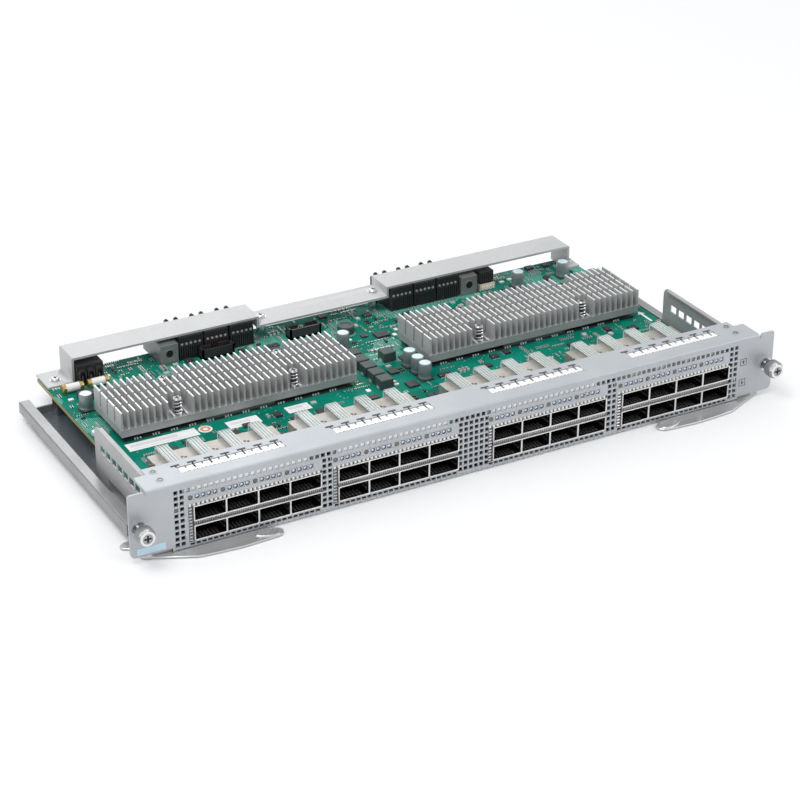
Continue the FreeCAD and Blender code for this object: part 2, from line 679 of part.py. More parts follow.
power = block("power_core", (-165.9, -149.4), (d.cover_front + 2.5, body_rear), (board_top, module_top - 2.6))
power_nose = block("power_nose", (-165.0, -150.2), (body_rear - 1.0, body_rear + 10.0), (board_top + 1.5, module_top - 4.5))
bay_a = block("power_bay_a", (-164.2, -158.4), (d.cover_front - 1.0, d.cover_front + 5.0), (board_top + 1.4, board_top + 9.4))
bay_b = block("power_bay_b", (-156.8, -151.0), (d.cover_front - 1.0, d.cover_front + 5.0), (board_top + 1.4, board_top + 9.4))
node(cut("power_connector", fuse("power_body", [power, power_nose]), [bay_a, bay_b]))
small_base = block("small_base", (110.5, 121.8), (d.cover_front - 0.6, d.cover_front + 3.0), (board_top, board_top + 4.0))
small_top = block("small_top", (111.0, 121.3), (d.cover_front + 0.6, body_rear + 6.0), (board_top + 4.0, module_top - 3.0))
node(small_base, "small_plug_base")
node(small_top, "small_plug")
headers = []
for k, left in enumerate((-91.0, -31.0)):
    shell = block("header_shell_%d" % k, (left, left + 24.6), (171.6, 179.4), (board_top, board_top + 8.8))
    well = block("header_well_%d" % k, (left + 1.2, left + 23.4), (172.8, 178.2), (board_top + 1.6, board_top + 12.0))
    headers.append(cut("header_%d" % k, shell, [well]))
node(group("box_headers", headers))
pins = []
for k, left in enumerate((-91.0, -31.0)):
    for i in range(8):
        at = left + 3.0 + 2.54 * i
        pins.append(block("pin_%d_%d" % (k, i), (at, at + 0.6), (174.0, 177.0), (board_top + 1.6, board_top + 7.4)))
node(group("header_pins", pins))

# ------------------------------------------------------- parts on the board
fuse_parts, fuse_ends = [], []
for k, left in enumerate((-178.6, -162.6)):
    fuse_parts.append(rod("fuse_tube_%d" % k, 2.5, 8.4, left + 2.4, 171.4, board_top + 3.4, "x"))
    for i, x in enumerate((left, left + 10.8)):
        cap = rod("fuse_cap_%d_%d" % (k, i), 2.8, 2.4, x, 171.4, board_top + 3.4, "x")
        foot = block("fuse_foot_%d_%d" % (k, i), (x + 0.4, x + 2.0), (169.4, 173.4), (board_top, board_top + 2.0))
        fuse_ends.append(fuse("fuse_end_%d_%d" % (k, i), [cap, foot]))
node(group("fuse_tubes", fuse_parts))
node(group("fuse_end_caps", fuse_ends))

CANS = ((-173.2, 147.0), (-5.0, 147.7), (19.0, 107.3), (19.0, 97.4), (18.8, 88.0), (135.7, 174.0), (169.5, 173.6))
cans = []
for k, (x, y) in enumerate(CANS):
    can = rod("can_%d" % k, 4.0, 10.6, x, y, board_top + 0.5)
    base = block("can_base_%d" % k, (x - 4.2, x + 4.2), (y - 4.2, y + 4.2), (board_top, board_top + 0.9))
    cans.append(fuse("can_full_%d" % k, [can, base]))
node(group("capacitors", cans))
CHOKES = ((-7.6, 130.0), (-7.6, 120.0), (-7.6, 110.0), (-7.6, 100.0), (-7.6, 90.0), (11.0, 121.0))
inductors = [block("choke_%d" % k, (x - 3.6, x + 3.6), (y - 3.6, y + 3.6), (board_top, board_top + 5.2))
             for k, (x, y) in enumerate(CHOKES)]
inductors.append(rod("round_inductor", 5.4, 5.0, 7.0, 167.0, board_top))
node(group("inductors", inductors))
SMALL = ((-168.0, 160.0, 9.0, 7.0, 4.4), (-136.0, 160.0, 13.0, 11.0, 1.4), (-112.0, 158.0, 8.0, 6.0, 1.4),
         (-45.0, 162.0, 10.0, 10.0, 1.3), (24.0, 152.0, 9.0, 7.0, 1.4), (72.0, 160.0, 14.0, 14.0, 1.6),
         (103.0, 158.0, 9.0, 9.0, 1.4), (150.0, 158.0, 12.0, 9.0, 1.5), (8.0, 84.0, 7.0, 7.0, 1.3),
         (6.0, 104.0, 6.0, 6.0, 1.3), (182.0, 150.0, 6.0, 5.0, 1.2), (-100.0, 84.0, 5.0, 4.0, 1.2),
         (-20.0, 80.0, 6.0, 5.0, 1.2), (60.0, 84.0, 5.0, 4.0, 1.2), (120.0, 84.0, 5.0, 4.0, 1.2), (166.0, 86.0, 6.0, 5.0, 1.2))
node(group("board_chips", [block("small_chip_%d" % k, (x - a / 2, x + a / 2), (y - b / 2, y + b / 2), (board_top, board_top + h))
                           for k, (x, y, a, b, h) in enumerate(SMALL)]))
labels = [block("tag_%d" % k, (x, x + a), (y, y + b), (board_top, board_top + 0.15)) for k, (x, y, a, b) in enumerate(
    ((-167.5, 86.5, 43.0, 9.0), (-112.0, 86.0, 20.0, 9.0), (-72.0, 86.0, 15.0, 8.0)))]
node(group("board_labels", labels))

# ------------------------------------------------------------- ejector levers
def lever(name, side):
    """Flat blade: hook outboard of the pivot, long blade and rounded finger end."""
    made = body(name)
    outline = sketch(made, name + "_outline", "XY_Plane", d.lever_low)
    edge = d.low_half + 0.35
    points = [(206.6, 16.6), (206.9, 19.2), (204.6, 21.4), (200.6, 22.0), (196.4, 18.2), (193.0, 17.0), (187.4, 16.2),
              (edge, 13.2), (edge, -0.45), (127.6, -0.45), (124.4, -1.5), (122.4, -3.8), (122.0, -6.4), (123.2, -9.0), (126.2, -10.8),
              (138.0, -11.6), (151.0, -12.0), (173.5, -10.0), (186.0, -6.6), (194.2, -3.2), (199.6, 1.2), (201.6, 6.6), (201.4, 12.8), (204.4, 15.4)]
    outline_points = [(u * side, v) for u, v in points]
    polygon(outline, outline_points)
    pad(made, name + "_blade", outline, d.lever_thick)
    tab = sketch(made, name + "_tab_outline", "XY_Plane", d.lever_low + d.lever_thick - 0.05)
    polygon(tab, [(side * u, v) for u, v in ((138.0, -11.2), (126.6, -10.4), (123.6, -8.8), (122.5, -6.4), (122.9, -4.0),
                                            (124.7, -2.0), (127.7, -1.0), (133.0, -1.0), (138.0, -7.6))])
    pad(made, name + "_tab", tab, 0.9)
    hole = sketch(made, name + "_pivot_hole", "XY_Plane", d.lever_low + d.lever_thick)
    disc(hole, d.pivot_x * side, d.pivot_y, d.pivot_r + d.run_gap)
    pocket(made, name + "_bore", hole, d.lever_thick * 2)
    sink = sketch(made, name + "_recess", "XY_Plane", d.lever_low)
    disc(sink, d.pivot_x * side, d.pivot_y, d.pivot_r + 1.7)
    pocket(made, name + "_counterbore", sink, 0.5, True)
    return node(made)


for name, side in (("left_ejector_lever", -1), ("right_ejector_lever", 1)):
    lever(name, side)
pivot_pins, bushings = [], []
for name, side in (("left_pivot_pin", -1), ("right_pivot_pin", 1)):
    x = d.pivot_x * side
    shaft = rod(name + "_shaft", d.pivot_r, d.tray_thick + d.sheet - d.lever_low - 0.05, x, d.pivot_y, d.lever_low + 0.05)
    low_head = rod(name + "_foot", d.pivot_r + 1.5, 0.36, x, d.pivot_y, d.lever_low + 0.05)
    top_head = rod(name + "_head", d.pivot_r + 0.8, 0.7, x, d.pivot_y, d.tray_thick + d.sheet)
    pivot_pins.append(fuse(name, [shaft, low_head, top_head]))
node(group("pivot_pins", pivot_pins))

# -------------------------------------------------------- captive thumbscrews
def thumbscrew(prefix, side):
    """Bushing in the ear, return spring and a knob on a captive shank."""
    x = d.thumb_x * side
    z = d.thumb_z
    flange = rod(prefix + "_bush_flange", d.shank_r + 2.2, 1.2, x, -1.2, z, "y")
    sleeve = rod(prefix + "_bush_sleeve", d.shank_r + 1.35, 3.6, x, -0.4, z, "y")
    bore = rod(prefix + "_bush_bore", d.shank_r + d.run_gap, 12.0, x, -4.0, z, "y")
    bushings.append(cut(prefix + "_bushing", fuse(prefix + "_bush", [flange, sleeve]), [bore]))
    start = -1.2 - d.thumb_travel - 1.2
    ring = rod(prefix + "_ring", d.shank_r + 1.3, d.thumb_travel + 1.14, x, start + 0.03, z, "y")
    inside = rod(prefix + "_inside", d.shank_r + 0.35, 12.0, x, start - 1.0, z, "y")
    node(cut(prefix + "_spring", ring, [inside]))
    knob = body(prefix + "_knob")
    disc_face = sketch(knob, prefix + "_knob_face", "XZ_Plane", -start)
    disc(disc_face, x, z, d.thumb_r)
    pad(knob, prefix + "_knob_grip", disc_face, d.thumb_long)
    rim = sketch(knob, prefix + "_rim", "XZ_Plane", -start + d.thumb_long - 0.1)
    disc(rim, x, z, d.thumb_r - 0.9)
    pad(knob, prefix + "_knob_rim", rim, 0.8)
    shank = sketch(knob, prefix + "_shank_end", "XZ_Plane", -start + 0.1)
    disc(shank, x, z, d.shank_r)
    pad(knob, prefix + "_shank", shank, 14.6, True)
    keeper = sketch(knob, prefix + "_keeper", "XZ_Plane", -3.5)
    disc(keeper, x, z, d.shank_r + 0.7)
    pad(knob, prefix + "_keeper_ring", keeper, 0.8, True)
    cross = sketch(knob, prefix + "_cross", "XZ_Plane", -start + d.thumb_long + 0.7)
    a, b = 2.4, 0.6
    polygon(cross, [(x - b, z - a), (x + b, z - a), (x + b, z - b), (x + a, z - b), (x + a, z + b), (x + b, z + b),
                    (x + b, z + a), (x - b, z + a), (x - b, z + b), (x - a, z + b), (x - a, z - b), (x - b, z - b)])
    pocket(knob, prefix + "_recess", cross, 2.0)
    node(knob)


thumbscrew("left_thumb", -1)
thumbscrew("right_thumb", 1)
node(group("thumb_bushings", bushings))

doc.recompute()

# ------------------------------------------------------------------- export
problems = []
for thing in doc.Objects:
    state = [s for s in thing.State if s in ("Invalid", "Error", "RecomputeError")]
    if state:
        problems.append((thing.Name, state))
for thing in NODES:
    shape = thing.Shape
    if shape.isNull() or not shape.isValid() or not shape.Solids:
        problems.append((thing.Label, "shape"))
if problems:
    raise RuntimeError("not exported: %s" % problems)
os.makedirs("parts", exist_ok=True)
for thing in NODES:
    thing.Shape.exportStep("parts/%s.step" % thing.Label)
print("nodes", len(NODES), "solids", sum(len(n.Shape.Solids) for n in NODES))
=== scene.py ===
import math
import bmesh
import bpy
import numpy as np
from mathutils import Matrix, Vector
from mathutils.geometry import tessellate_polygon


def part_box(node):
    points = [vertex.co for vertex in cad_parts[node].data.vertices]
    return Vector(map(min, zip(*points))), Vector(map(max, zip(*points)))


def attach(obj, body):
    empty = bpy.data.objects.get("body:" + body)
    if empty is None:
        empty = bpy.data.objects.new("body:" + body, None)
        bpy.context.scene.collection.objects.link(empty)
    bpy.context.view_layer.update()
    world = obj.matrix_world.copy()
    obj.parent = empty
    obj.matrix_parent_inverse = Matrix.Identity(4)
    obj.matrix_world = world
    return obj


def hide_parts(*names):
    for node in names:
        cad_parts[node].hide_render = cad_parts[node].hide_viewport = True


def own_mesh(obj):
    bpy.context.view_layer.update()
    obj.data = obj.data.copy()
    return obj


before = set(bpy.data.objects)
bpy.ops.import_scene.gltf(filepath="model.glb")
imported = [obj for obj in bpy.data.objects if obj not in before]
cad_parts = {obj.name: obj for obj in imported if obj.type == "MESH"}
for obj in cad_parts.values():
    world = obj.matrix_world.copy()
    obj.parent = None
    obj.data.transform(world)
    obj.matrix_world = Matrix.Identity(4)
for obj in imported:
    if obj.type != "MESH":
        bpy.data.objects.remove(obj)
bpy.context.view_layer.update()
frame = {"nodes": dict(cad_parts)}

# %% [markdown]
# # A switch line card, piece by piece
# The card slides into a network chassis.  A folded front sheet carries 32 module
# ports in four groups, a green board lies on a sheet-metal tray, two cross-cut
# heat sinks cool its switch chips, and a folded cover bridges the plugs at its back.
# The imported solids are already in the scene.  This lesson gives each of them a
# finish, and draws afresh those whose real shape is finer than a plain solid.

MM = 0.001
chance = np.random.default_rng(7)

# %% [markdown]
# ## Reading places from the solids
# Most new pieces start from the box of the solid that they dress or stand on.  Where
# one box holds many parts, such as the cans, their places are lists in millimetres.
# Lengths stay in millimetres until the mesh is made.

# %% Places
def span(node):
    """The lowest and the highest corner of a node's box, in millimetres."""
    low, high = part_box(node)
    return np.array(low) / MM, np.array(high) / MM


PANEL_LOW, PANEL_HIGH = span("front_panel")
FLANGE_HIGH = span("top_flange")[1]
BOARD_LOW, BOARD_HIGH = span("main_board")
TOP = BOARD_HIGH[2]
COLUMN = 19.0
CAGE_HIGH = 9.5
GROUPS = [(span("upper_cage_%d" % k), span("lower_cage_%d" % k)) for k in (1, 2, 3, 4)]
print("board top at", round(TOP, 2), "groups start at", [round(float(u[0][0]), 2) for u, _ in GROUPS])

# %% [markdown]
# ## A shape as three arrays
# A shape here is its points, its four-cornered faces and a finish number for each
# face.  A triangle is a face whose last corner is named twice.  Shapes can then be
# copied, moved and joined as whole arrays before Blender sees them.

# %% Grid, box and join
def net(nu, nv, close_u=False, close_v=False):
    """Faces between neighbours of an nu by nv grid: corner (i, j), (i+1, j), (i+1, j+1), (i, j+1)."""
    i, j = np.meshgrid(np.arange(nu - (not close_u)), np.arange(nv - (not close_v)), indexing="ij")
    a, b = i * nv + j, (i + 1) % nu * nv + j
    c, d = (i + 1) % nu * nv + (j + 1) % nv, i * nv + (j + 1) % nv
    return np.stack([a, b, c, d], -1).reshape(-1, 4)


def shape(points, faces, mark=0):
    """A shape whose faces all carry one finish number."""
    faces = np.asarray(faces, int)
    return np.asarray(points, float).reshape(-1, 3), faces, np.full(len(faces), mark)


def flip(faces):
    """The same faces seen from the other side; a triangle keeps its doubled corner last."""
    triangle = faces[:, 2:3] == faces[:, 3:]
    return np.where(triangle, faces[:, [2, 1, 0, 0]], faces[:, ::-1])


def join(*shapes):
    """One shape from many: each one's faces count on from the points before it."""
    starts = np.cumsum([0] + [len(s[0]) for s in shapes[:-1]])
    return (np.concatenate([s[0] for s in shapes]),
            np.concatenate([s[1] + n for s, n in zip(shapes, starts)]),
            np.concatenate([s[2] for s in shapes]))


def bricks(lows, highs, mark=0):
    """Boxes between rows of low and high corners: each corner takes low or high along each axis."""
    lows, highs = np.atleast_2d(lows).astype(float), np.atleast_2d(highs).astype(float)
    pick = np.array([[i, j, k] for i in (0, 1) for j in (0, 1) for k in (0, 1)])
    points = np.where(pick[None], highs[:, None], lows[:, None]).reshape(-1, 3)
    one = np.array([[0, 1, 3, 2], [4, 6, 7, 5], [0, 4, 5, 1], [2, 3, 7, 6], [0, 2, 6, 4], [1, 5, 7, 3]])
    faces = (one[None] + 8 * np.arange(len(lows))[:, None, None]).reshape(-1, 4)
    return shape(points, faces, mark)


def brick(x, y, z, mark=0):
    """One box from its three ranges."""
    return bricks([x[0], y[0], z[0]], [x[1], y[1], z[1]], mark)


def remark(form, mark):
    """The same shape with one other finish number."""
    return form[0], form[1], np.full_like(form[2], mark)


def at(form, *places):
    """A copy of a shape at each place: its points plus each offset in turn."""
    points, faces, marks = form
    places = np.asarray(places, float).reshape(-1, 3)
    count = len(places)
    return ((points[None] + places[:, None]).reshape(-1, 3),
            (faces[None] + (np.arange(count) * len(points))[:, None, None]).reshape(-1, 4),
            np.tile(marks, count))


def facing(form, axis):
    """A shape made along +Z, turned to run along +X or +Y instead."""
    points, faces, marks = form
    order = {"x": (2, 0, 1), "y": (1, 2, 0), "z": (0, 1, 2)}[axis]
    return points[:, order], faces, marks


# %% [markdown]
# ## Three ways to make a surface
# Round pieces are a profile turned about an axis, wires and clear strips are a
# section carried along a path, and flat pieces are an outline given a thickness.

# %% Turned, swept and flat pieces
def turned(profile, steps=24, mark=0, ripple=None):
    """A profile of (radius, height) turned about Z: x = r cos t, y = r sin t, z = h.
    A ripple function of the angle may scale the radius, as for knurls."""
    profile = np.asarray(profile, float)
    t = np.linspace(0, 2 * np.pi, steps, endpoint=False)
    r = profile[:, :1] * (1 if ripple is None else ripple(t)[None])
    points = np.stack([r * np.cos(t), r * np.sin(t), np.repeat(profile[:, 1:], steps, 1)], -1)
    return shape(points, net(len(profile), steps, close_v=True), mark)


def swept(section, path, up=(0, 0, 1), mark=0):
    """A closed section (a, b) carried along a path: point = path + a * side + b * lift, where side is
    across the path's direction and up, and lift is across both.  Both ends are closed with a fan."""
    section, path = np.asarray(section, float), np.asarray(path, float)
    along = np.gradient(path, axis=0)
    along /= np.linalg.norm(along, axis=1)[:, None]
    side = np.cross(along, np.broadcast_to(np.asarray(up, float), along.shape))
    side /= np.linalg.norm(side, axis=1)[:, None]
    lift = np.cross(side, along)
    points = path[:, None] + section[None, :, :1] * side[:, None] + section[None, :, 1:] * lift[:, None]
    n, k = len(path), len(section)
    ring = np.arange(k)
    hub = n * k
    first = np.stack([ring, (ring + 1) % k, np.full(k, hub), np.full(k, hub)], -1)
    last = np.stack([(n - 1) * k + (ring + 1) % k, (n - 1) * k + ring, np.full(k, hub + 1),
                     np.full(k, hub + 1)], -1)
    points = np.concatenate([points.reshape(-1, 3), path[:1], path[-1:]])
    return shape(points, np.concatenate([net(n, k, close_v=True), first, last]), mark)


def circle(radius, steps=8):
    """A closed ring of points (r cos t, r sin t)."""
    t = np.linspace(0, 2 * np.pi, steps, endpoint=False)
    return radius * np.stack([np.cos(t), np.sin(t)], -1)


def flat(outline, low, high, mark=0):
    """An outline in X and Y given a thickness from low to high, with both faces cut into triangles."""
    outline = np.asarray(outline, float)
    n = len(outline)
    tris = np.array(tessellate_polygon([[Vector((x, y, 0)) for x, y in outline]]))
    lid = np.concatenate([tris, tris[:, 2:]], 1)
    ring = np.arange(n)
    wall = np.stack([ring, (ring + 1) % n, (ring + 1) % n + n, ring + n], -1)
    points = np.concatenate([np.c_[outline, np.full(n, low)], np.c_[outline, np.full(n, high)]])
    return shape(points, np.concatenate([flip(lid), lid + n, wall]), mark)


def pierced(outer, windows, low, high, mark=0):
    """A flat piece with windows: the lid is cut into triangles round all loops, and each loop
    gets its wall."""
    loops = [np.asarray(loop, float) for loop in [outer] + windows]
    every = np.concatenate(loops)
    n = len(every)
    tris = np.array(tessellate_polygon([[Vector((x, y, 0)) for x, y in loop] for loop in loops]))
    lid = np.concatenate([tris, tris[:, 2:]], 1)
    walls, start = [], 0
    for loop in loops:
        ring = np.arange(len(loop))
        follow = (ring + 1) % len(loop) + start
        ring = ring + start
        walls.append(np.stack([ring, follow, follow + n, ring + n], -1))
        start += len(loop)
    points = np.concatenate([np.c_[every, np.full(n, low)], np.c_[every, np.full(n, high)]])
    return shape(points, np.concatenate([flip(lid), lid + n, *walls]), mark)


def plate(outline, low, high, edge, mark=0):
    """An outline with a thickness and a small chamfer: four rings, of which the lowest and the highest
    are drawn in by edge along the outline's own normals."""
    outline = np.asarray(outline, float)
    n = len(outline)
    along = np.roll(outline, -1, 0) - np.roll(outline, 1, 0)
    along /= np.linalg.norm(along, axis=1)[:, None] + 1e-9
    nxt = np.roll(outline, -1, 0)
    turn = np.sign((outline[:, 0] * nxt[:, 1] - outline[:, 1] * nxt[:, 0]).sum())
    drawn = outline - edge * turn * np.stack([along[:, 1], -along[:, 0]], -1)
    rings = [np.c_[drawn, np.full(n, low)], np.c_[outline, np.full(n, low + edge)],
             np.c_[outline, np.full(n, high - edge)], np.c_[drawn, np.full(n, high)]]
    tris = np.array(tessellate_polygon([[Vector((x, y, 0)) for x, y in drawn]]))
    lid = np.concatenate([tris, tris[:, 2:]], 1)
    return shape(np.concatenate(rings), np.concatenate([flip(lid), lid + 3 * n, net(4, n, close_v=True)]),
                 mark)


def arc(cx, cy, r, start, stop, steps=6):
    """Points along an arc, with its angles in degrees."""
    t = np.radians(np.linspace(start, stop, steps))
    return np.stack([cx + r * np.cos(t), cy + r * np.sin(t)], -1)


# %% [markdown]
# ## A sheet made of cells
# A punched sheet is a grid of cells, each solid or open.  The lines of the grid are
# the edges of every hole.  A solid cell gets a face on both sides, and wherever a
# solid cell meets an open one, a small wall closes the edge.  The two surfaces are
# functions of the cell's two coordinates, so the same sheet can be flat or folded.

# %% Punched sheets
def lines(*edges):
    """The sorted grid lines from all edges, with near doubles dropped."""
    every = np.unique(np.concatenate([np.ravel(e) for e in edges]).round(3))
    return every[np.r_[True, np.diff(every) > 0.02]]


def punched(us, vs, solid, outer, inner, mark=0):
    """A sheet between two surfaces of (u, v).  solid[i, j] says whether the cell from line i to i+1
    and line j to j+1 is there."""
    u, v = np.meshgrid(us, vs, indexing="ij")
    points = np.concatenate([outer(u, v).reshape(-1, 3), inner(u, v).reshape(-1, 3)])
    nv, half = len(vs), len(us) * len(vs)
    cell = net(len(us), nv).reshape(len(us) - 1, nv - 1, 4)
    faces = [cell[solid], cell[solid][:, ::-1] + half]
    padded = np.pad(solid, 1)
    for axis in (0, 1):
        step = np.diff(padded.astype(int), axis=axis)
        step = step[:, 1:-1] if axis == 0 else step[1:-1]
        for sign in (1, -1):
            i, j = np.nonzero(step == sign)
            a = i * nv + j
            b = a + (1 if axis == 0 else nv)
            faces.append(np.stack([a, b, b + half, a + half], -1))
    points, faces, marks = shape(points, np.concatenate(faces), mark)
    used, back = np.unique(faces, return_inverse=True)
    return points[used], back.reshape(faces.shape), marks


# %% [markdown]
# ## From arrays to a Blender piece
# The arrays go into a mesh with from_pydata, doubles are merged, faces are turned
# outwards and edges sharper than a set angle stay crisp.  A Bevel modifier rounds
# edges that catch the light.  A plain solid whose shape is right is dressed as a
# merged copy, so that it can have rounded edges too.

# %% Making pieces
def settle(mesh, sharp, turn=True):
    """Merge doubles, turn faces outwards and mark sharp edges."""
    work = bmesh.new()
    work.from_mesh(mesh)
    bmesh.ops.remove_doubles(work, verts=work.verts, dist=2e-6)
    if turn:
        bmesh.ops.recalc_face_normals(work, faces=work.faces)
    work.to_mesh(mesh)
    work.free()
    mesh.shade_smooth()
    mesh.set_sharp_from_angle(angle=math.radians(sharp))


def soften(thing, width, angle=35):
    """A small rounded edge on every corner sharper than the angle."""
    edge = thing.modifiers.new("edge", "BEVEL")
    edge.width = width * MM
    edge.segments = 2
    edge.limit_method = "ANGLE"
    edge.angle_limit = math.radians(angle)
    edge.harden_normals = True


PIECES = {}


def piece(name, form, finishes, body="base", stands_for=(), bevel=0, sharp=35):
    """A new object from a shape: its mesh in metres, its finishes by number and its body; the solids it
    stands for are hidden.
    """
    points, faces, marks = form
    triangle = faces[:, 2] == faces[:, 3]
    loops = [row[:3] if three else row for row, three in zip(faces.tolist(), triangle)]
    mesh = bpy.data.meshes.new(name)
    mesh.from_pydata(points * MM, [], loops)
    mesh.polygons.foreach_set("material_index", marks.astype(np.int32))
    for finish in finishes:
        mesh.materials.append(finish)
    settle(mesh, sharp)
    made = bpy.data.objects.new(name, mesh)
    bpy.context.scene.collection.objects.link(made)
    if bevel:
        soften(made, bevel)
    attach(made, body)
    if stands_for:
        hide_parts(*stands_for)
    PIECES[name] = made
    return made


def dressed(node, finish, body="base", bevel=0.2):
    """A merged copy of a solid with rounded edges, which stands for that solid."""
    mesh = frame["nodes"][node].data.copy()
    mesh.materials.clear()
    mesh.materials.append(finish)
    mesh.polygons.foreach_set("material_index", np.zeros(len(mesh.polygons), np.int32))
    settle(mesh, 30, turn=False)
    made = bpy.data.objects.new(node + "_dressed", mesh)
    bpy.context.scene.collection.objects.link(made)
    if bevel:
        soften(made, bevel)
    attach(made, body)
    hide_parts(node)
    PIECES[made.name] = made
    return made


# %% [markdown]
# ## Shared surface effects
# Three effects are used by many finishes, so each is a node group built once:
# a fine grain that can be stretched into brushing, a slow mottling between two
# colours, and the flecks of a zinc or nickel coating.  Each reads Object
# coordinates, so the pattern has its real size in metres.

# %% Node groups
def wire(tree, kind, values=None, **links):
    """A node with plain values set by socket name, and links given as socket_name=source."""
    made = tree.nodes.new(kind)
    for key, value in (values or {}).items():
        if isinstance(key, str) and hasattr(made, key):
            setattr(made, key, value)
        else:
            made.inputs[key].default_value = value
    for key, source in links.items():
        tree.links.new(source, made.inputs[key.replace("_", " ")])
    return made


def group(name, sockets_in, sockets_out):
    """An empty node group with the named sockets."""
    tree = bpy.data.node_groups.new(name, "ShaderNodeTree")
    for label, kind, value in sockets_in:
        made = tree.interface.new_socket(label, in_out="INPUT", socket_type=kind)
        if value is not None:
            made.default_value = value
    for label, kind in sockets_out:
        tree.interface.new_socket(label, in_out="OUTPUT", socket_type=kind)
    return tree, tree.nodes.new("NodeGroupInput"), tree.nodes.new("NodeGroupOutput")


FLOAT, COLOUR, VECTOR = "NodeSocketFloat", "NodeSocketColor", "NodeSocketVector"


def make_grain():
    """Noise on stretched Object coordinates: value, and a normal from its height."""
    tree, give, take = group("stretched_grain", [
        ("Stretch", VECTOR, (1.0, 1.0, 1.0)), ("Scale", FLOAT, 900.0), ("Rough Low", FLOAT, 0.3),
        ("Rough High", FLOAT, 0.5), ("Height", FLOAT, 0.00002)], [("Roughness", FLOAT), ("Normal", VECTOR)])
    place = wire(tree, "ShaderNodeTexCoord")
    pull = wire(tree, "ShaderNodeVectorMath", {"operation": "MULTIPLY", 0: (1, 1, 1)})
    tree.links.new(place.outputs["Object"], pull.inputs[0])
    tree.links.new(give.outputs["Stretch"], pull.inputs[1])
    noise = wire(tree, "ShaderNodeTexNoise", {"Detail": 3.0, "Roughness": 0.6}, Vector=pull.outputs[0],
                 Scale=give.outputs["Scale"])
    spread = wire(tree, "ShaderNodeMapRange", {"From Min": 0.3, "From Max": 0.7},
                  Value=noise.outputs["Fac"],
                  To_Min=give.outputs["Rough Low"], To_Max=give.outputs["Rough High"])
    bump = wire(tree, "ShaderNodeBump", {"Strength": 0.6}, Height=noise.outputs["Fac"],
                Distance=give.outputs["Height"])
    tree.links.new(spread.outputs["Result"], take.inputs["Roughness"])
    tree.links.new(bump.outputs["Normal"], take.inputs["Normal"])
    return tree


def make_mottle():
    """A slow noise that moves between two colours."""
    tree, give, take = group("slow_mottle", [
        ("Colour A", COLOUR, (0.5, 0.5, 0.5, 1)), ("Colour B", COLOUR, (0.6, 0.6, 0.6, 1)),
        ("Scale", FLOAT, 40.0)],
        [("Colour", COLOUR)])
    place = wire(tree, "ShaderNodeTexCoord")
    noise = wire(tree, "ShaderNodeTexNoise", {"Detail": 4.0}, Vector=place.outputs["Object"],
                 Scale=give.outputs["Scale"])
    ramp = wire(tree, "ShaderNodeMapRange", {"From Min": 0.35, "From Max": 0.65},
                Value=noise.outputs["Fac"])
    mix = wire(tree, "ShaderNodeMix", {"data_type": "RGBA"})
    tree.links.new(ramp.outputs["Result"], mix.inputs[0])
    tree.links.new(give.outputs["Colour A"], mix.inputs[6])
    tree.links.new(give.outputs["Colour B"], mix.inputs[7])
    tree.links.new(mix.outputs[2], take.inputs["Colour"])
    return tree


def make_flecks():
    """Crystal cells of a metal coating: each cell lightens or darkens the colour a little."""
    tree, give, take = group("coating_flecks", [
        ("Colour", COLOUR, (0.6, 0.6, 0.6, 1)), ("Scale", FLOAT, 700.0), ("Depth", FLOAT, 0.1)],
        [("Colour", COLOUR)])
    place = wire(tree, "ShaderNodeTexCoord")
    cells = wire(tree, "ShaderNodeTexVoronoi", {}, Vector=place.outputs["Object"],
                 Scale=give.outputs["Scale"])
    grey = wire(tree, "ShaderNodeRGBToBW", {}, Color=cells.outputs["Color"])
    shade = wire(tree, "ShaderNodeMath", {"operation": "SUBTRACT", 1: 0.5})
    tree.links.new(grey.outputs[0], shade.inputs[0])
    deep = wire(tree, "ShaderNodeMath", {"operation": "MULTIPLY"})
    tree.links.new(shade.outputs[0], deep.inputs[0])
    tree.links.new(give.outputs["Depth"], deep.inputs[1])
    lift = wire(tree, "ShaderNodeMath", {"operation": "ADD", 1: 1.0})
    tree.links.new(deep.outputs[0], lift.inputs[0])
    scale = wire(tree, "ShaderNodeVectorMath", {"operation": "SCALE"})
    tree.links.new(give.outputs["Colour"], scale.inputs[0])
    tree.links.new(lift.outputs[0], scale.inputs["Scale"])
    tree.links.new(scale.outputs[0], take.inputs["Colour"])
    return tree


GRAIN, MOTTLE, FLECKS = make_grain(), make_mottle(), make_flecks()
print("shared effects:", [g.name for g in bpy.data.node_groups])

# %% [markdown]
# ## Finishes
# A finish is a Principled shader whose colour comes from the mottle and flecks and
# whose roughness and normal come from the grain.  What differs from one sheet, rod
# or moulding to the next is only the set of values, so one maker serves them all.

# %% The finish maker
def use(tree, kind, **values):
    """A shared group placed in a material, with its own values."""
    made = tree.nodes.new("ShaderNodeGroup")
    made.node_tree = kind
    for key, value in values.items():
        made.inputs[key.replace("_", " ")].default_value = value
    return made


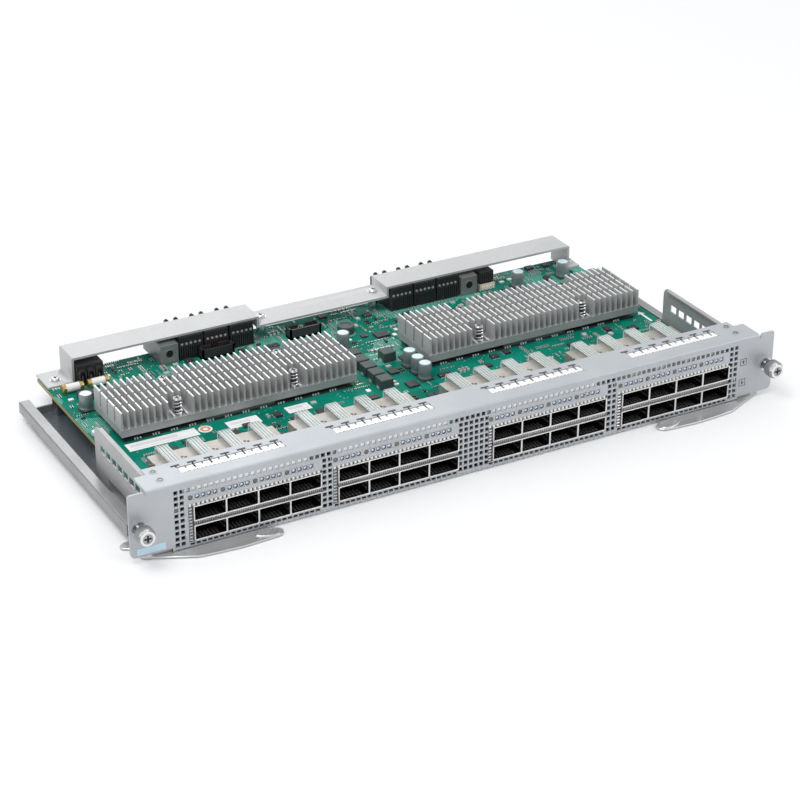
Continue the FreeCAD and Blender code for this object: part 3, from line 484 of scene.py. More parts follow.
def finish(name, colour, other=None, metal=0.0, rough=(0.35, 0.45), stretch=(1, 1, 1), grain=900.0,
           height=0.00002,
           mottle=40.0, fleck=0.0, fleck_scale=700.0, **sockets):
    """A material: mottled colour, optional flecks, grain in roughness and normal."""
    made = bpy.data.materials.new(name)
    made.use_nodes = True
    tree = made.node_tree
    base = tree.nodes["Principled BSDF"]
    blend = use(tree, MOTTLE, Colour_A=(*colour, 1), Colour_B=(*(other or colour), 1), Scale=mottle)
    tint = blend.outputs["Colour"]
    if fleck:
        cells = use(tree, FLECKS, Scale=fleck_scale, Depth=fleck)
        tree.links.new(tint, cells.inputs["Colour"])
        tint = cells.outputs["Colour"]
    tree.links.new(tint, base.inputs["Base Color"])
    fine = use(tree, GRAIN, Stretch=stretch, Scale=grain, Rough_Low=rough[0], Rough_High=rough[1],
               Height=height)
    tree.links.new(fine.outputs["Roughness"], base.inputs["Roughness"])
    tree.links.new(fine.outputs["Normal"], base.inputs["Normal"])
    base.inputs["Metallic"].default_value = metal
    for key, value in sockets.items():
        base.inputs[key.replace("_", " ")].default_value = value
    return made


# %% [markdown]
# ### Metals
# Painted steel, zinc-coated sheet, nickel, polished steel, cut aluminium and die-cast
# zinc differ in how much they mirror and how fine their grain is.  The sheets have
# flecks, the rails a drawn grain and the fins a grain along their length.

# %% Metals
panel_coat = finish("panel_coat", (0.485, 0.507, 0.532), (0.525, 0.547, 0.572), metal=0.40,
                    rough=(0.36, 0.46), grain=2600, height=0.00001)
zinc = finish("zinc_sheet", (0.62, 0.63, 0.64), (0.68, 0.69, 0.70), metal=0.8, rough=(0.30, 0.42),
              fleck=0.10, fleck_scale=260)
# the tray floor is zinc painted much darker: painted shade, since the floor lies in shade
tray_zinc_painted_shade = finish("tray_floor_painted_shade_zinc", (0.155, 0.18, 0.20), (0.19, 0.215, 0.235), metal=0.45,
                    rough=(0.30, 0.40), fleck=0.02, fleck_scale=240)
rail_zinc = finish("rail_zinc", (0.31, 0.315, 0.32), (0.37, 0.375, 0.38), metal=0.6, rough=(0.28, 0.36),
                   stretch=(8, 0.4, 8), grain=300, height=0.000004)
cover_zinc = finish("cover_zinc", (0.54, 0.545, 0.545), (0.57, 0.575, 0.575), metal=0.35,
                    rough=(0.42, 0.52), fleck=0.05, fleck_scale=500)
bracket_zinc = finish("bracket_zinc", (0.40, 0.40, 0.405), (0.45, 0.45, 0.455), metal=0.3,
                      rough=(0.34, 0.44), fleck=0.06, fleck_scale=400)
cage_nickel = finish("cage_nickel", (0.44, 0.415, 0.38), (0.54, 0.515, 0.48), metal=0.55, rough=(0.38, 0.5),
                     mottle=60, fleck=0.03)
rim_nickel = finish("rim_nickel", (0.84, 0.84, 0.84), (0.92, 0.92, 0.92), metal=0.3, rough=(0.25, 0.35))
gasket_steel = finish("gasket_steel", (0.60, 0.60, 0.62), (0.72, 0.72, 0.74), metal=0.9, rough=(0.18, 0.30),
                      grain=1500)
finger_steel = finish("finger_steel", (0.84, 0.84, 0.84), (0.90, 0.90, 0.90), metal=0.15,
                      rough=(0.28, 0.38))
# a pale finish that glows a little: painted light
glowing_painted_light_strip = finish("glowing_painted_light_strip", (0.88, 0.88, 0.87), (0.94, 0.94, 0.93), metal=0.0, rough=(0.30, 0.40),
                    Emission_Color=(1, 1, 1, 1), Emission_Strength=0.40)
bright_steel = finish("bright_steel", (0.66, 0.66, 0.67), (0.74, 0.74, 0.75), metal=1.0, rough=(0.16, 0.26),
                      grain=1600)
screw_steel = finish("screw_steel", (0.62, 0.63, 0.64), (0.70, 0.71, 0.72), metal=0.9, rough=(0.22, 0.32),
                     grain=2000)
lever_steel = finish("lever_steel", (0.60, 0.60, 0.60), (0.67, 0.67, 0.67), metal=0.6, rough=(0.26, 0.34),
                     grain=60, height=0.0000005, mottle=12)
knob_steel = finish("knob_steel", (0.36, 0.36, 0.36), (0.44, 0.44, 0.44), metal=0.9, rough=(0.24, 0.34),
                    grain=1600)
stem_steel = finish("stem_steel", (0.30, 0.30, 0.31), (0.38, 0.38, 0.39), metal=0.9, rough=(0.26, 0.36))
spring_steel = finish("spring_steel", (0.22, 0.22, 0.23), (0.30, 0.30, 0.31), metal=0.9, rough=(0.14, 0.22))
brass = finish("brass_cap", (0.62, 0.42, 0.16), (0.70, 0.50, 0.22), metal=1.0, rough=(0.24, 0.36),
               mottle=300)
fin_metal = finish("sink_aluminium", (0.44, 0.44, 0.44), (0.51, 0.51, 0.51), metal=0.25, rough=(0.36, 0.48),
                   stretch=(1, 0.15, 1), grain=1200)
# pale tips of the fins: a painted highlight
fin_tip_painted_highlight = finish("sink_tip_painted_highlight", (0.88, 0.88, 0.88), (0.93, 0.93, 0.93), metal=0.3, rough=(0.25, 0.35))
fin_base = finish("sink_base", (0.35, 0.35, 0.35), (0.41, 0.41, 0.41), metal=0.25, rough=(0.40, 0.52),
                  grain=1200)
die_cast = finish("die_cast_block", (0.24, 0.24, 0.24), (0.30, 0.30, 0.30), metal=0.5, rough=(0.38, 0.50),
                  grain=1400, height=0.00004)

# %% [markdown]
# ### Plastics, board parts and paper
# Mouldings, chip lids, ferrite and paper hardly mirror, so their colour and roughness
# do the work.  Tinned ends, cans and gold pads get some metal.  No black is pure: it
# stays a little grey, so that its shape shows.

# %% Plastics, board parts and paper
black = finish("black_plastic", (0.026, 0.026, 0.027), (0.038, 0.038, 0.039), rough=(0.34, 0.46),
               grain=1800)
# near black for places that are only in shade: painted shade inside the ports, under the flange fingers,
# behind the hole fields and in the guide mouths
painted_shade_black = finish("port_painted_shade", (0.006, 0.006, 0.006), (0.016, 0.015, 0.015), metal=0.2,
                      rough=(0.22, 0.38), grain=700, mottle=260)
plug_grey = finish("plug_grey", (0.24, 0.24, 0.24), (0.34, 0.34, 0.34), rough=(0.25, 0.35))
glint = finish("port_contact", (0.16, 0.16, 0.16), (0.34, 0.34, 0.34), metal=0.6, rough=(0.2, 0.3))
chip_black = finish("chip_black", (0.030, 0.031, 0.033), (0.045, 0.046, 0.048), rough=(0.42, 0.55),
                    grain=2400)
chip_grey = finish("chip_lid_grey", (0.11, 0.11, 0.12), (0.15, 0.15, 0.16), rough=(0.35, 0.48), grain=2400)
ferrite = finish("ferrite_grey", (0.035, 0.055, 0.050), (0.055, 0.080, 0.072), rough=(0.38, 0.50),
                 grain=1600, height=0.00004)
terminal = finish("tinned_terminal", (0.74, 0.74, 0.72), (0.86, 0.86, 0.84), metal=0.5, rough=(0.22, 0.34))
ceramic_tan = finish("capacitor_tan", (0.16, 0.14, 0.12), (0.26, 0.23, 0.20), rough=(0.35, 0.45),
                     mottle=300)
mark_brown = finish("mark_brown", (0.10, 0.05, 0.03), (0.16, 0.09, 0.06), rough=(0.35, 0.45), mottle=300)
white_part = finish("fuse_white", (0.80, 0.79, 0.75), (0.86, 0.85, 0.82), rough=(0.22, 0.32))
beige = finish("plug_beige", (0.62, 0.55, 0.40), (0.68, 0.60, 0.45), rough=(0.35, 0.45))
paper = finish("label_paper", (0.84, 0.84, 0.84), (0.88, 0.88, 0.88), rough=(0.50, 0.62), grain=3000)
paper_grey = finish("label_field", (0.66, 0.67, 0.68), (0.72, 0.73, 0.74), rough=(0.50, 0.62), grain=3000)
orange = finish("label_ring", (0.66, 0.26, 0.12), (0.72, 0.32, 0.17), rough=(0.45, 0.55))
pale_blue = finish("label_pale_blue", (0.55, 0.74, 0.88), (0.60, 0.78, 0.90), rough=(0.35, 0.45))
sleeve_blue = finish("can_top_blue", (0.14, 0.42, 0.68), (0.20, 0.48, 0.74), rough=(0.25, 0.35), metal=0.3)
can_metal = finish("can_aluminium", (0.25, 0.29, 0.295), (0.34, 0.38, 0.385), metal=0.5, rough=(0.30, 0.38))
can_top = finish("can_top", (0.62, 0.76, 0.84), (0.74, 0.86, 0.92), metal=0.2, rough=(0.30, 0.40),
                 mottle=200)
silk = finish("board_print", (0.80, 0.82, 0.80), (0.86, 0.88, 0.86), rough=(0.45, 0.55))
# near-black ink for printed marks, which is also the painted shade inside every cross recess
ink_and_recess_shade = finish("panel_ink_and_recess_shade", (0.05, 0.05, 0.06), (0.07, 0.07, 0.08), rough=(0.4, 0.5))
gold_pad = finish("gold_pad", (0.72, 0.52, 0.22), (0.80, 0.60, 0.28), metal=1.0, rough=(0.22, 0.32))

# %% [markdown]
# ## Clear acrylic
# The light guides are clear strips.  Real refraction in strips a millimetre wide
# only makes noise at this size, so the acrylic is a glossy surface that is a bit more
# than half opaque, and denser where it turns away.  The lamp ends use darker glass as
# painted shade: a dark ring for the shadow of the hole and a dark bar low in the lens.

# %% Clear strips
acrylic = finish("clear_acrylic", (0.60, 0.66, 0.64), (0.68, 0.73, 0.71), rough=(0.10, 0.14), mottle=60,
                 height=0.0, grain=40, Alpha=0.2)
# white acrylic for the beads that are painted highlights on the strips
acrylic_painted_highlight = finish("acrylic_painted_highlight", (0.86, 0.90, 0.90), (0.94, 0.96, 0.96), rough=(0.10, 0.16), mottle=60,
                      height=0.0)
edge_on = wire(acrylic.node_tree, "ShaderNodeLayerWeight", {"Blend": 0.35})
body = wire(acrylic.node_tree, "ShaderNodeMapRange", {"From Max": 0.9, "To Min": 0.55, "To Max": 0.80},
            Value=edge_on.outputs["Facing"])
acrylic.node_tree.links.new(body.outputs["Result"],
                            acrylic.node_tree.nodes["Principled BSDF"].inputs["Alpha"])
# dark glass round the guide ends: painted shade of the hole and of the lens bottom
lamp_glass_painted_shade = finish("lamp_glass_painted_shade", (0.012, 0.022, 0.045), (0.04, 0.07, 0.12), rough=(0.03, 0.06), mottle=520,
                    Coat_Weight=1.0)
lamp_ring = finish("lamp_ring", (0.30, 0.40, 0.52), (0.66, 0.75, 0.86), rough=(0.04, 0.08), mottle=700,
                   Coat_Weight=1.0)
lamp_amber = finish("lamp_amber", (0.10, 0.088, 0.075), (0.20, 0.175, 0.15), rough=(0.10, 0.18), mottle=500,
                    Coat_Weight=0.6)

# %% [markdown]
# ## The board's solder mask
# A bare board shows its copper through the green mask: wide pours with straight
# edges, runs of fine parallel tracks and hundreds of small holes.  Bricks with thin
# gaps give the pours, stripes kept to a few zones give the tracks and small cells
# give the holes.  Side faces show the yellow of the glass laminate.

# %% Solder mask
def make_mask():
    """Green mask: pours from bricks, tracks from waves, vias from cells, laminate on the sides."""
    made = bpy.data.materials.new("solder_mask")
    made.use_nodes = True
    tree = made.node_tree
    base = tree.nodes["Principled BSDF"]
    place = wire(tree, "ShaderNodeTexCoord").outputs["Object"]
    pours = wire(tree, "ShaderNodeTexBrick", {"offset": 0.37, "Color1": (0, 0, 0, 1),
            "Color2": (1, 1, 1, 1), "Mortar": (0.5, 0.5, 0.5, 1),
                                              "Scale": 22.0, "Mortar Size": 0.012, "Brick Width": 0.7,
                                              "Row Height": 0.42}, Vector=place)
    zone = wire(tree, "ShaderNodeTexVoronoi", {"distance": "CHEBYCHEV", "Scale": 55.0}, Vector=place)
    zone_grey = wire(tree, "ShaderNodeRGBToBW", {}, Color=zone.outputs["Color"])
    tracks = wire(tree, "ShaderNodeTexWave", {"wave_type": "BANDS", "bands_direction": "DIAGONAL",
            "Scale": 420.0, "Distortion": 0.0}, Vector=place)
    across = wire(tree, "ShaderNodeTexWave", {"wave_type": "BANDS", "bands_direction": "X", "Scale": 330.0,
            "Distortion": 0.0}, Vector=place)
    choose = wire(tree, "ShaderNodeMath", {"operation": "GREATER_THAN", 1: 0.52})
    tree.links.new(zone_grey.outputs[0], choose.inputs[0])
    strips = wire(tree, "ShaderNodeMix", {"data_type": "FLOAT"})
    tree.links.new(choose.outputs[0], strips.inputs[0])
    tree.links.new(tracks.outputs["Fac"], strips.inputs[2])
    tree.links.new(across.outputs["Fac"], strips.inputs[3])
    fine = wire(tree, "ShaderNodeMath", {"operation": "GREATER_THAN", 1: 0.62})
    tree.links.new(strips.outputs[0], fine.inputs[0])
    some = wire(tree, "ShaderNodeTexNoise", {"Scale": 38.0, "Detail": 1.0}, Vector=place)
    where = wire(tree, "ShaderNodeMath", {"operation": "GREATER_THAN", 1: 0.53})
    tree.links.new(some.outputs["Fac"], where.inputs[0])
    track_mask = wire(tree, "ShaderNodeMath", {"operation": "MULTIPLY"})
    tree.links.new(fine.outputs[0], track_mask.inputs[0])
    tree.links.new(where.outputs[0], track_mask.inputs[1])
    holes = wire(tree, "ShaderNodeTexVoronoi", {"Scale": 330.0, "Randomness": 0.75}, Vector=place)
    via = wire(tree, "ShaderNodeMath", {"operation": "LESS_THAN", 1: 0.16})
    tree.links.new(holes.outputs["Distance"], via.inputs[0])
    some_vias = wire(tree, "ShaderNodeTexNoise", {"Scale": 60.0, "Detail": 0.0}, Vector=place)
    via_zone = wire(tree, "ShaderNodeMath", {"operation": "GREATER_THAN", 1: 0.55})
    tree.links.new(some_vias.outputs["Fac"], via_zone.inputs[0])
    via_mask = wire(tree, "ShaderNodeMath", {"operation": "MULTIPLY"})
    tree.links.new(via.outputs[0], via_mask.inputs[0])
    tree.links.new(via_zone.outputs[0], via_mask.inputs[1])

    def layer(under, over, factor):
        """One colour over another by a mask."""
        mix = wire(tree, "ShaderNodeMix", {"data_type": "RGBA"})
        tree.links.new(factor, mix.inputs[0])
        for slot_index, colour in ((6, under), (7, over)):
            if isinstance(colour, tuple):
                mix.inputs[slot_index].default_value = colour
            else:
                tree.links.new(colour, mix.inputs[slot_index])
        return mix.outputs[2]

    pour_grey = wire(tree, "ShaderNodeRGBToBW", {}, Color=pours.outputs["Color"])
    colour = layer((0.002, 0.150, 0.105, 1), (0.004, 0.205, 0.145, 1), pour_grey.outputs[0])
    far = wire(tree, "ShaderNodeSeparateXYZ", {}, Vector=place)
    behind = wire(tree, "ShaderNodeMapRange", {"From Min": 0.095, "From Max": 0.12}, Value=far.outputs["Y"])
    copper = layer((0.008, 0.27, 0.20, 1), (0.20, 0.52, 0.44, 1), behind.outputs["Result"])
    colour = layer(colour, copper, track_mask.outputs[0])
    colour = layer(colour, (0.34, 0.50, 0.42, 1), via_mask.outputs[0])
    side = wire(tree, "ShaderNodeNewGeometry")
    split = wire(tree, "ShaderNodeSeparateXYZ", {}, Vector=side.outputs["Normal"])
    upright = wire(tree, "ShaderNodeMath", {"operation": "ABSOLUTE"})
    tree.links.new(split.outputs["Z"], upright.inputs[0])
    wall = wire(tree, "ShaderNodeMath", {"operation": "LESS_THAN", 1: 0.5})
    tree.links.new(upright.outputs[0], wall.inputs[0])
    colour = layer(colour, (0.46, 0.38, 0.20, 1), wall.outputs[0])
    tree.links.new(colour, base.inputs["Base Color"])
    bump = wire(tree, "ShaderNodeBump", {"Strength": 0.5, "Distance": 0.00006},
                Height=track_mask.outputs[0])
    tree.links.new(bump.outputs["Normal"], base.inputs["Normal"])
    base.inputs["Roughness"].default_value = 0.46
    base.inputs["Specular IOR Level"].default_value = 0.05
    return made


mask_green = make_mask()

# %% [markdown]
# ## The folded front sheet
# One steel sheet makes the face and the top flange, with a bend of small radius
# between them and a second bend at the bottom.  It is a punched sheet in two
# coordinates: x along the card, and s up the face, round the bend and back along the
# flange.  The rows and columns of square holes, the four port windows and the long
# openings for the top spring fingers are its open cells.

# %% Fold and holes
HEIGHT = PANEL_HIGH[2]
BEND = 1.3
REACH = FLANGE_HIGH[1]
LOW_HALF = 184.0
SHEET = 1.2
EAR_LOW, EAR_STEP, FLANGE_END = 3.6, 7, 17.0
EDGE_MARGIN = 2.8
HOLE, PITCH, ROW_PITCH, ROW_TOP = 2.4, 3.4, 3.53, 32.9
TOP_BEND, LOW_BEND = HEIGHT - BEND, BEND
QUARTER = BEND * np.pi / 2


def fold(s, inset):
    """The section at s: straight up the face, a quarter turn, then back.  Returns y and z.
    A point at the fold is centre + (BEND - inset) * (cos, sin) of an angle that grows with s."""
    top = np.clip((s - TOP_BEND) / QUARTER, 0, 1) * np.pi / 2
    low = np.clip((LOW_BEND - s) / QUARTER, 0, 1) * np.pi / 2
    past_top = np.clip(s - TOP_BEND - QUARTER, 0, None)
    past_low = np.clip(LOW_BEND - QUARTER - s, 0, None)
    r = BEND - inset
    y = BEND - r * np.cos(top) * np.cos(low) + past_top + past_low
    z = np.clip(s, LOW_BEND, TOP_BEND) + r * np.sin(top) - r * np.sin(low)
    return y, z


def sheet_side(inset):
    """The sheet's surface at a depth below its outer face, as a function of x and s."""
    def surface(x, s):
        """The point at x along the card and s round the section."""
        y, z = fold(s, inset)
        return np.stack([x, y, z], -1)
    return surface


def span_s(y_from_front):
    """The s of a point on the flange at that depth."""
    return TOP_BEND + QUARTER + y_from_front - BEND


HOLES = []


def open_at(x, s, wide, high):
    """Note rectangular openings centred at x and s."""
    x, s = np.broadcast_arrays(np.asarray(x, float), s)
    HOLES.extend(np.stack([x - wide / 2, x + wide / 2, s - high / 2, s + high / 2], -1).reshape(-1, 4))


rows = ROW_TOP - ROW_PITCH * np.arange(9)
top_row = np.linspace(-LOW_HALF + EDGE_MARGIN, LOW_HALF - EDGE_MARGIN, 105)
open_at(top_row, ROW_TOP + ROW_PITCH, HOLE, HOLE)
blocks = [(-LOW_HALF + EDGE_MARGIN, 2)]
group_low = [float(u[0][0]) for u, _ in GROUPS]
group_high = [float(u[1][0]) for u, _ in GROUPS]
blocks += [(group_high[0] + 1.7, 2), (group_high[1] + 1.0, 6), (group_high[2] + 1.7, 2)]
blocks += [(LOW_HALF - 6.2, 2)]
for first, count in blocks:
    x, s = np.meshgrid(first + PITCH * np.arange(count), rows)
    open_at(x.ravel(), s.ravel(), HOLE, HOLE)
STATUS = (-LOW_HALF + EDGE_MARGIN, ROW_TOP - ROW_PITCH * 2)
PORT_LOW = float(GROUPS[0][1][0][2])
for low, high in zip(group_low, group_high):
    under = np.arange(low - 1.0, high, PITCH)
    open_at(under, PORT_LOW - 1.55, 2.7, 1.5)
open_at(np.arange(-LOW_HALF + EDGE_MARGIN, LOW_HALF - 1, PITCH), 0.95, 2.6, 1.9)
print(len(HOLES), "square holes")

# %% [markdown]
# Lamp ends are round, so the sheet is left open there in small squares, and each is
# filled with a flush plate that has a round hole.  That plate is a surface between a
# square and a circle, both walked by the same angle.

# %% Lamp holes and windows
LAMP_Z = float(span("port_lenses")[0][2] + span("port_lenses")[1][2]) / 2
LAMP_X = np.array([low + COLUMN * k - 1.4 for low in group_low for k in range(4)])
PIPE_STEP = 3.45
PIPE_X = (LAMP_X[:, None] + PIPE_STEP * np.arange(1, 5)[None] + 0.6).ravel()
FILL = 1.7
round_x = np.r_[LAMP_X, PIPE_X]
open_at(round_x, LAMP_Z, 2 * FILL, 2 * FILL)
WINDOWS = [(low - 3.0, high + 0.3, PORT_LOW - 0.3, float(GROUPS[0][0][1][2]) + 1.6) for low,
           high in zip(group_low, group_high)]
HOLES.extend(np.array(WINDOWS))
FINGER_WIDE, FINGER_STEP = 61.8, 4.88
FINGERS = [(low + start, FINGER_WIDE) for low, start in zip(group_low, (-1.5, 4.7, 5.2, 13.2))]
for low, wide in FINGERS:
    HOLES.append([low, low + wide, span_s(9.9), span_s(16.9)])
    for seam in low + 2 * FINGER_STEP * np.arange(7):
        HOLES.append([seam - 2.6, seam + 2.6, span_s(17.9), span_s(19.8)])
        HOLES.append([seam - 0.5, seam + 0.5, span_s(16.9), span_s(17.9)])
HOLES = np.array(HOLES, float)


def punch(us, vs, holes):
    """Which cells stay solid: a cell is open if its middle lies in any hole."""
    mu, mv = (us[1:] + us[:-1]) / 2, (vs[1:] + vs[:-1]) / 2
    in_u = (mu[None] > holes[:, :1]) & (mu[None] < holes[:, 1:2])
    in_v = (mv[None] > holes[:, 2:3]) & (mv[None] < holes[:, 3:4])
    return ~(in_u.T.astype(int) @ in_v.astype(int) > 0)


FLANGE_HALF = FLANGE_HIGH[0]
arcs = np.linspace(0, QUARTER, 7)
xs = lines(HOLES[:, :2], [-FLANGE_HALF, -FLANGE_HALF + EAR_STEP, -LOW_HALF, LOW_HALF,
                          FLANGE_HALF - EAR_STEP, FLANGE_HALF])
support = [LOW_BEND - QUARTER - 3.0, EAR_LOW, TOP_BEND - 0.25, TOP_BEND + QUARTER + 0.25,
           span_s(FLANGE_END), span_s(REACH)]
ss = lines(HOLES[:, 2:], LOW_BEND - arcs, TOP_BEND + arcs, support)
solid = punch(xs, ss, HOLES)
mid_x, mid_s = np.meshgrid((xs[1:] + xs[:-1]) / 2, (ss[1:] + ss[:-1]) / 2, indexing="ij")
solid &= ~((np.abs(mid_x) > LOW_HALF) & (mid_s < EAR_LOW))
solid &= ~((np.abs(mid_x) > FLANGE_HALF - EAR_STEP) & (mid_s > span_s(FLANGE_END)))
sheet = punched(xs, ss, solid, sheet_side(0.0), sheet_side(SHEET))


def round_fill(steps=16, radius=1.5):
    """A square plate with a round hole: rings from the square's edge to the hole, through to the back."""
    t = np.linspace(0, 2 * np.pi, steps, endpoint=False) + np.pi / steps
    unit = np.stack([np.cos(t), np.sin(t)], -1)
    square = unit / np.abs(unit).max(1)[:, None] * FILL
    rings = [(square, 0.0), (unit * radius, 0.0), (unit * radius, SHEET), (square, SHEET)]
    points = np.stack([np.c_[ring[:, 0], np.full(steps, depth), ring[:, 1]] for ring, depth in rings])
    return shape(points, net(4, steps, close_u=True, close_v=True))


def ear(side):
    """An ear: flat sheet outside the fold, a V notch where the flange ends and a rounded lower corner."""
    out, cut = PANEL_HIGH[0], FLANGE_HALF
    outline = [(cut, PANEL_LOW[2] + EAR_LOW)]
    outline += list(map(tuple, arc(out - 3.0, EAR_LOW + 3.0, 3.0, -90, 0, 6)))
    outline += list(map(tuple, arc(out - 1.2, HEIGHT - 1.2, 1.2, 0, 90, 4)))
    outline += [(cut + 2.0, HEIGHT), (cut + 0.8, HEIGHT - 2.7), (cut, HEIGHT - 2.7)]
    points, faces, marks = flat(outline, 0.0, SHEET)
    return points[:, (0, 2, 1)] * [side, 1, 1], faces, marks


fills = at(round_fill(), *[(x, 0, LAMP_Z) for x in round_x])
faceplate = piece("faceplate", join(sheet, fills, ear(-1), ear(1)), [panel_coat],
                  stands_for=("front_panel", "top_flange"), sharp=50)
print("faceplate faces", len(faceplate.data.polygons))

# %% [markdown]
# ## Cages, rims and bays in painted shade
# The port cages stay the plain plates of the solids.  Each opening gets a rim rolled
# from thin nickel sheet, which is a small round section carried round a rectangle
# with round corners, and a black lining that ends at the socket inside.  The lining is
# painted shade: a near-black sheet where the inside of the cage is only in shade.

# %% Rims and linings in painted shade
PORTS = [(low + COLUMN * k + 0.5, z0, z1) for low in group_low for k in range(4)
         for z0, z1 in ((PORT_LOW + 0.5, PORT_LOW + 9.0), (TOP + 0.5, TOP + 9.0))]
WIDE = COLUMN - 0.5


def frame_path(x0, x1, z0, z1, y, r=0.7, steps=4):
    """A rectangle with round corners in the plane at depth y, as a closed path."""
    corners = [arc(x1 - r, z1 - r, r, 0, 90, steps), arc(x0 + r, z1 - r, r, 90, 180, steps),
               arc(x0 + r, z0 + r, r, 180, 270, steps), arc(x1 - r, z0 + r, r, 270, 360, steps)]
    flat_path = np.concatenate(corners)
    return np.c_[flat_path[:, 0], np.full(len(flat_path), y), flat_path[:, 1]]


def hoop(path, radius, normal=(0, 1, 0), steps=6, mark=0):
    """A round wire on a closed path: point = path + radius * (cos t * outward + sin t * normal)."""
    along = np.roll(path, -1, 0) - np.roll(path, 1, 0)
    along /= np.linalg.norm(along, axis=1)[:, None]
    normal = np.asarray(normal, float)
    side = np.cross(along, normal)
    t = np.linspace(0, 2 * np.pi, steps, endpoint=False)
    points = path[:, None] + radius * (np.cos(t)[None, :, None] * side[:, None] + np.sin(t)[None, :, None]
                                       * normal)
    return shape(points, net(len(path), steps, close_u=True, close_v=True), mark)


rims = join(*[hoop(frame_path(x - 0.1, x + WIDE + 0.1, z0 - 0.1, z1 + 0.1, -0.25), 0.34) for x, z0,
              z1 in PORTS])
piece("port_rims", rims, [rim_nickel])
# near-black boxes inside every port are painted shade, which darkens the inside of the cage where little
# light reaches
shade_walls = []
for x, z0, z1 in PORTS:
    a, b, c, d, e, f = x + 0.05, x + WIDE - 0.05, 0.35, 44.0, z0 + 0.02, z1 - 0.02
    shade_walls += [((a, c, e), (a + 0.2, d, f)), ((b - 0.2, c, e), (b, d, f)), ((a, c, e), (b, d, e + 0.2)),
              ((a, c, f - 0.2), (b, d, f)),
              ((a, d - 0.2, e), (b, d, f))]
shade_walls = np.array(shade_walls)
painted_shade_lining = bricks(shade_walls[:, 0], shade_walls[:, 1])
tongue = [((x + 0.25, 2.0, z), (x + 0.55, 11.0, z + 0.9)) for x, z0, _ in PORTS
          for z in (z0 + 2.0, z0 + 5.2)]
tongue += [((x + WIDE - 0.55, 2.0, z), (x + WIDE - 0.25, 11.0, z + 0.9)) for x, z0, _ in PORTS
           for z in (z0 + 2.0, z0 + 5.2)]
tongue += [((x + 3.0 + 2.1 * k, 1.5, z0 + 0.25), (x + 4.0 + 2.1 * k, 7.0, z0 + 0.5)) for x, z0, _ in PORTS
           for k in range(6)]
tongue = np.array(tongue)
piece("port_painted_shade_plates", join(painted_shade_lining, bricks(tongue[:, 0], tongue[:, 1], 1)), [painted_shade_black, glint])
for kind in ("upper_cage_%d", "lower_cage_%d"):
    for k in (1, 2, 3, 4):
        frame["nodes"][kind % k].data.materials.clear()
        frame["nodes"][kind % k].data.materials.append(cage_nickel)

# %% [markdown]
# ## Spring fingers
# Round every group of ports a strip of spring fingers touches the chassis: a row
# of small teeth above, a ribbed strip between the two rows, and a stack of blades at
# the left.  Each tooth is a section that rises in a low arch, so it catches the light
# along its crest.  A box per tooth would be simpler, but would mirror as one flat.
#
# Two things here are painted light that steers what shows through the small holes.
# Black plates behind the hole fields are painted shade, and a pale strip that glows a
# little behind the top row of the first three groups is painted light.  Both are chosen
# for the look alone.

# %% Gaskets
def blades(xs, ys, zs, tall, wide, crest, along="x"):
    """Arched teeth: a half round crest of that height on a small plate, one at each place."""
    t = np.linspace(0, np.pi, 5)
    section = np.stack([wide / 2 * np.cos(t), -crest * np.sin(t)], -1)
    k = len(section)
    ends = np.array([0, 1.0]) * tall
    if along == "x":
        points = np.stack([np.c_[section[:, 0], section[:, 1], np.full(k, e)] for e in ends])
    else:
        points = np.stack([np.c_[np.full(k, e), section[:, 1], section[:, 0]] for e in ends])
    faces = net(2, k, close_v=True)
    caps = np.array([[0, 1, 2, 3], [0, 3, 4, 4]])
    faces = np.concatenate([faces, caps, flip(caps) + k])
    return at(shape(points, faces), *np.stack(np.broadcast_arrays(xs, ys, zs), -1).reshape(-1, 3))


gasket = []
for low, high in zip(group_low, group_high):
    x = np.arange(low - 1.8, high - 0.5, 2.55)
    gasket.append(bricks([low - 2.9, 0.85, 26.25], [high, 1.3, 27.6], 1))
    gasket.append(remark(blades(x, 0.9, 26.25, 1.35, 1.8, 1.25), 2))
    gasket.append(bricks([low + 0.2, 1.35, TOP + 9.75], [high - 0.2, 20.0, TOP + 10.05], 2))
    if low < 80:
        # a pale plate that glows a little behind the top hole row: painted light
        gasket.append(bricks([low + 0.6, 2.0, 34.2], [high - 7.0, 2.4, 38.8], 3))
    x = np.arange(low + 0.9, high - 0.4, 1.27)
    gasket.append(bricks([low + 0.3, 0.7, TOP - 2.3], [high - 0.3, 3.4, TOP - 0.1], 1))
    gasket.append(blades(x, 0.8, TOP - 2.0, 1.7, 0.7, 0.95))
    z = np.arange(PORT_LOW + 0.6, 26.0, 1.9)
    gasket.append(bricks([low - 2.9, 0.85, PORT_LOW + 0.1], [low - 0.3, 1.3, 26.2], 1))
    gasket.append(blades(low - 2.6, 0.9, z, 2.0, 1.2, 0.95, "z"))
# black plates behind the bottom holes of each group and behind the hole fields: painted shade seen through
# the holes
for low, high in zip(group_low, group_high):
    gasket.append(bricks([low - 2.0, 2.5, 0.3], [high + 0.4, 2.8, PORT_LOW - 0.5], 4))
for first, count in blocks:
    gasket.append(bricks([first - 1.6, 3.0, 3.2], [first + PITCH * (count - 1) + 1.6, 3.3, 38.4], 4))
piece("spring_gaskets", join(*gasket), [gasket_steel, spring_steel, finger_steel, glowing_painted_light_strip, painted_shade_black],
      stands_for=("port_gaskets",))

# %% [markdown]
# ### Fingers in the flange
# The long windows show a row of bright bent tabs with dark slits between them.  Each
# tab is a flat outline with a rounded front, and the dark is a black plate below that
# is painted shade, which gives a crisper slit than a real gap that light leaks through.

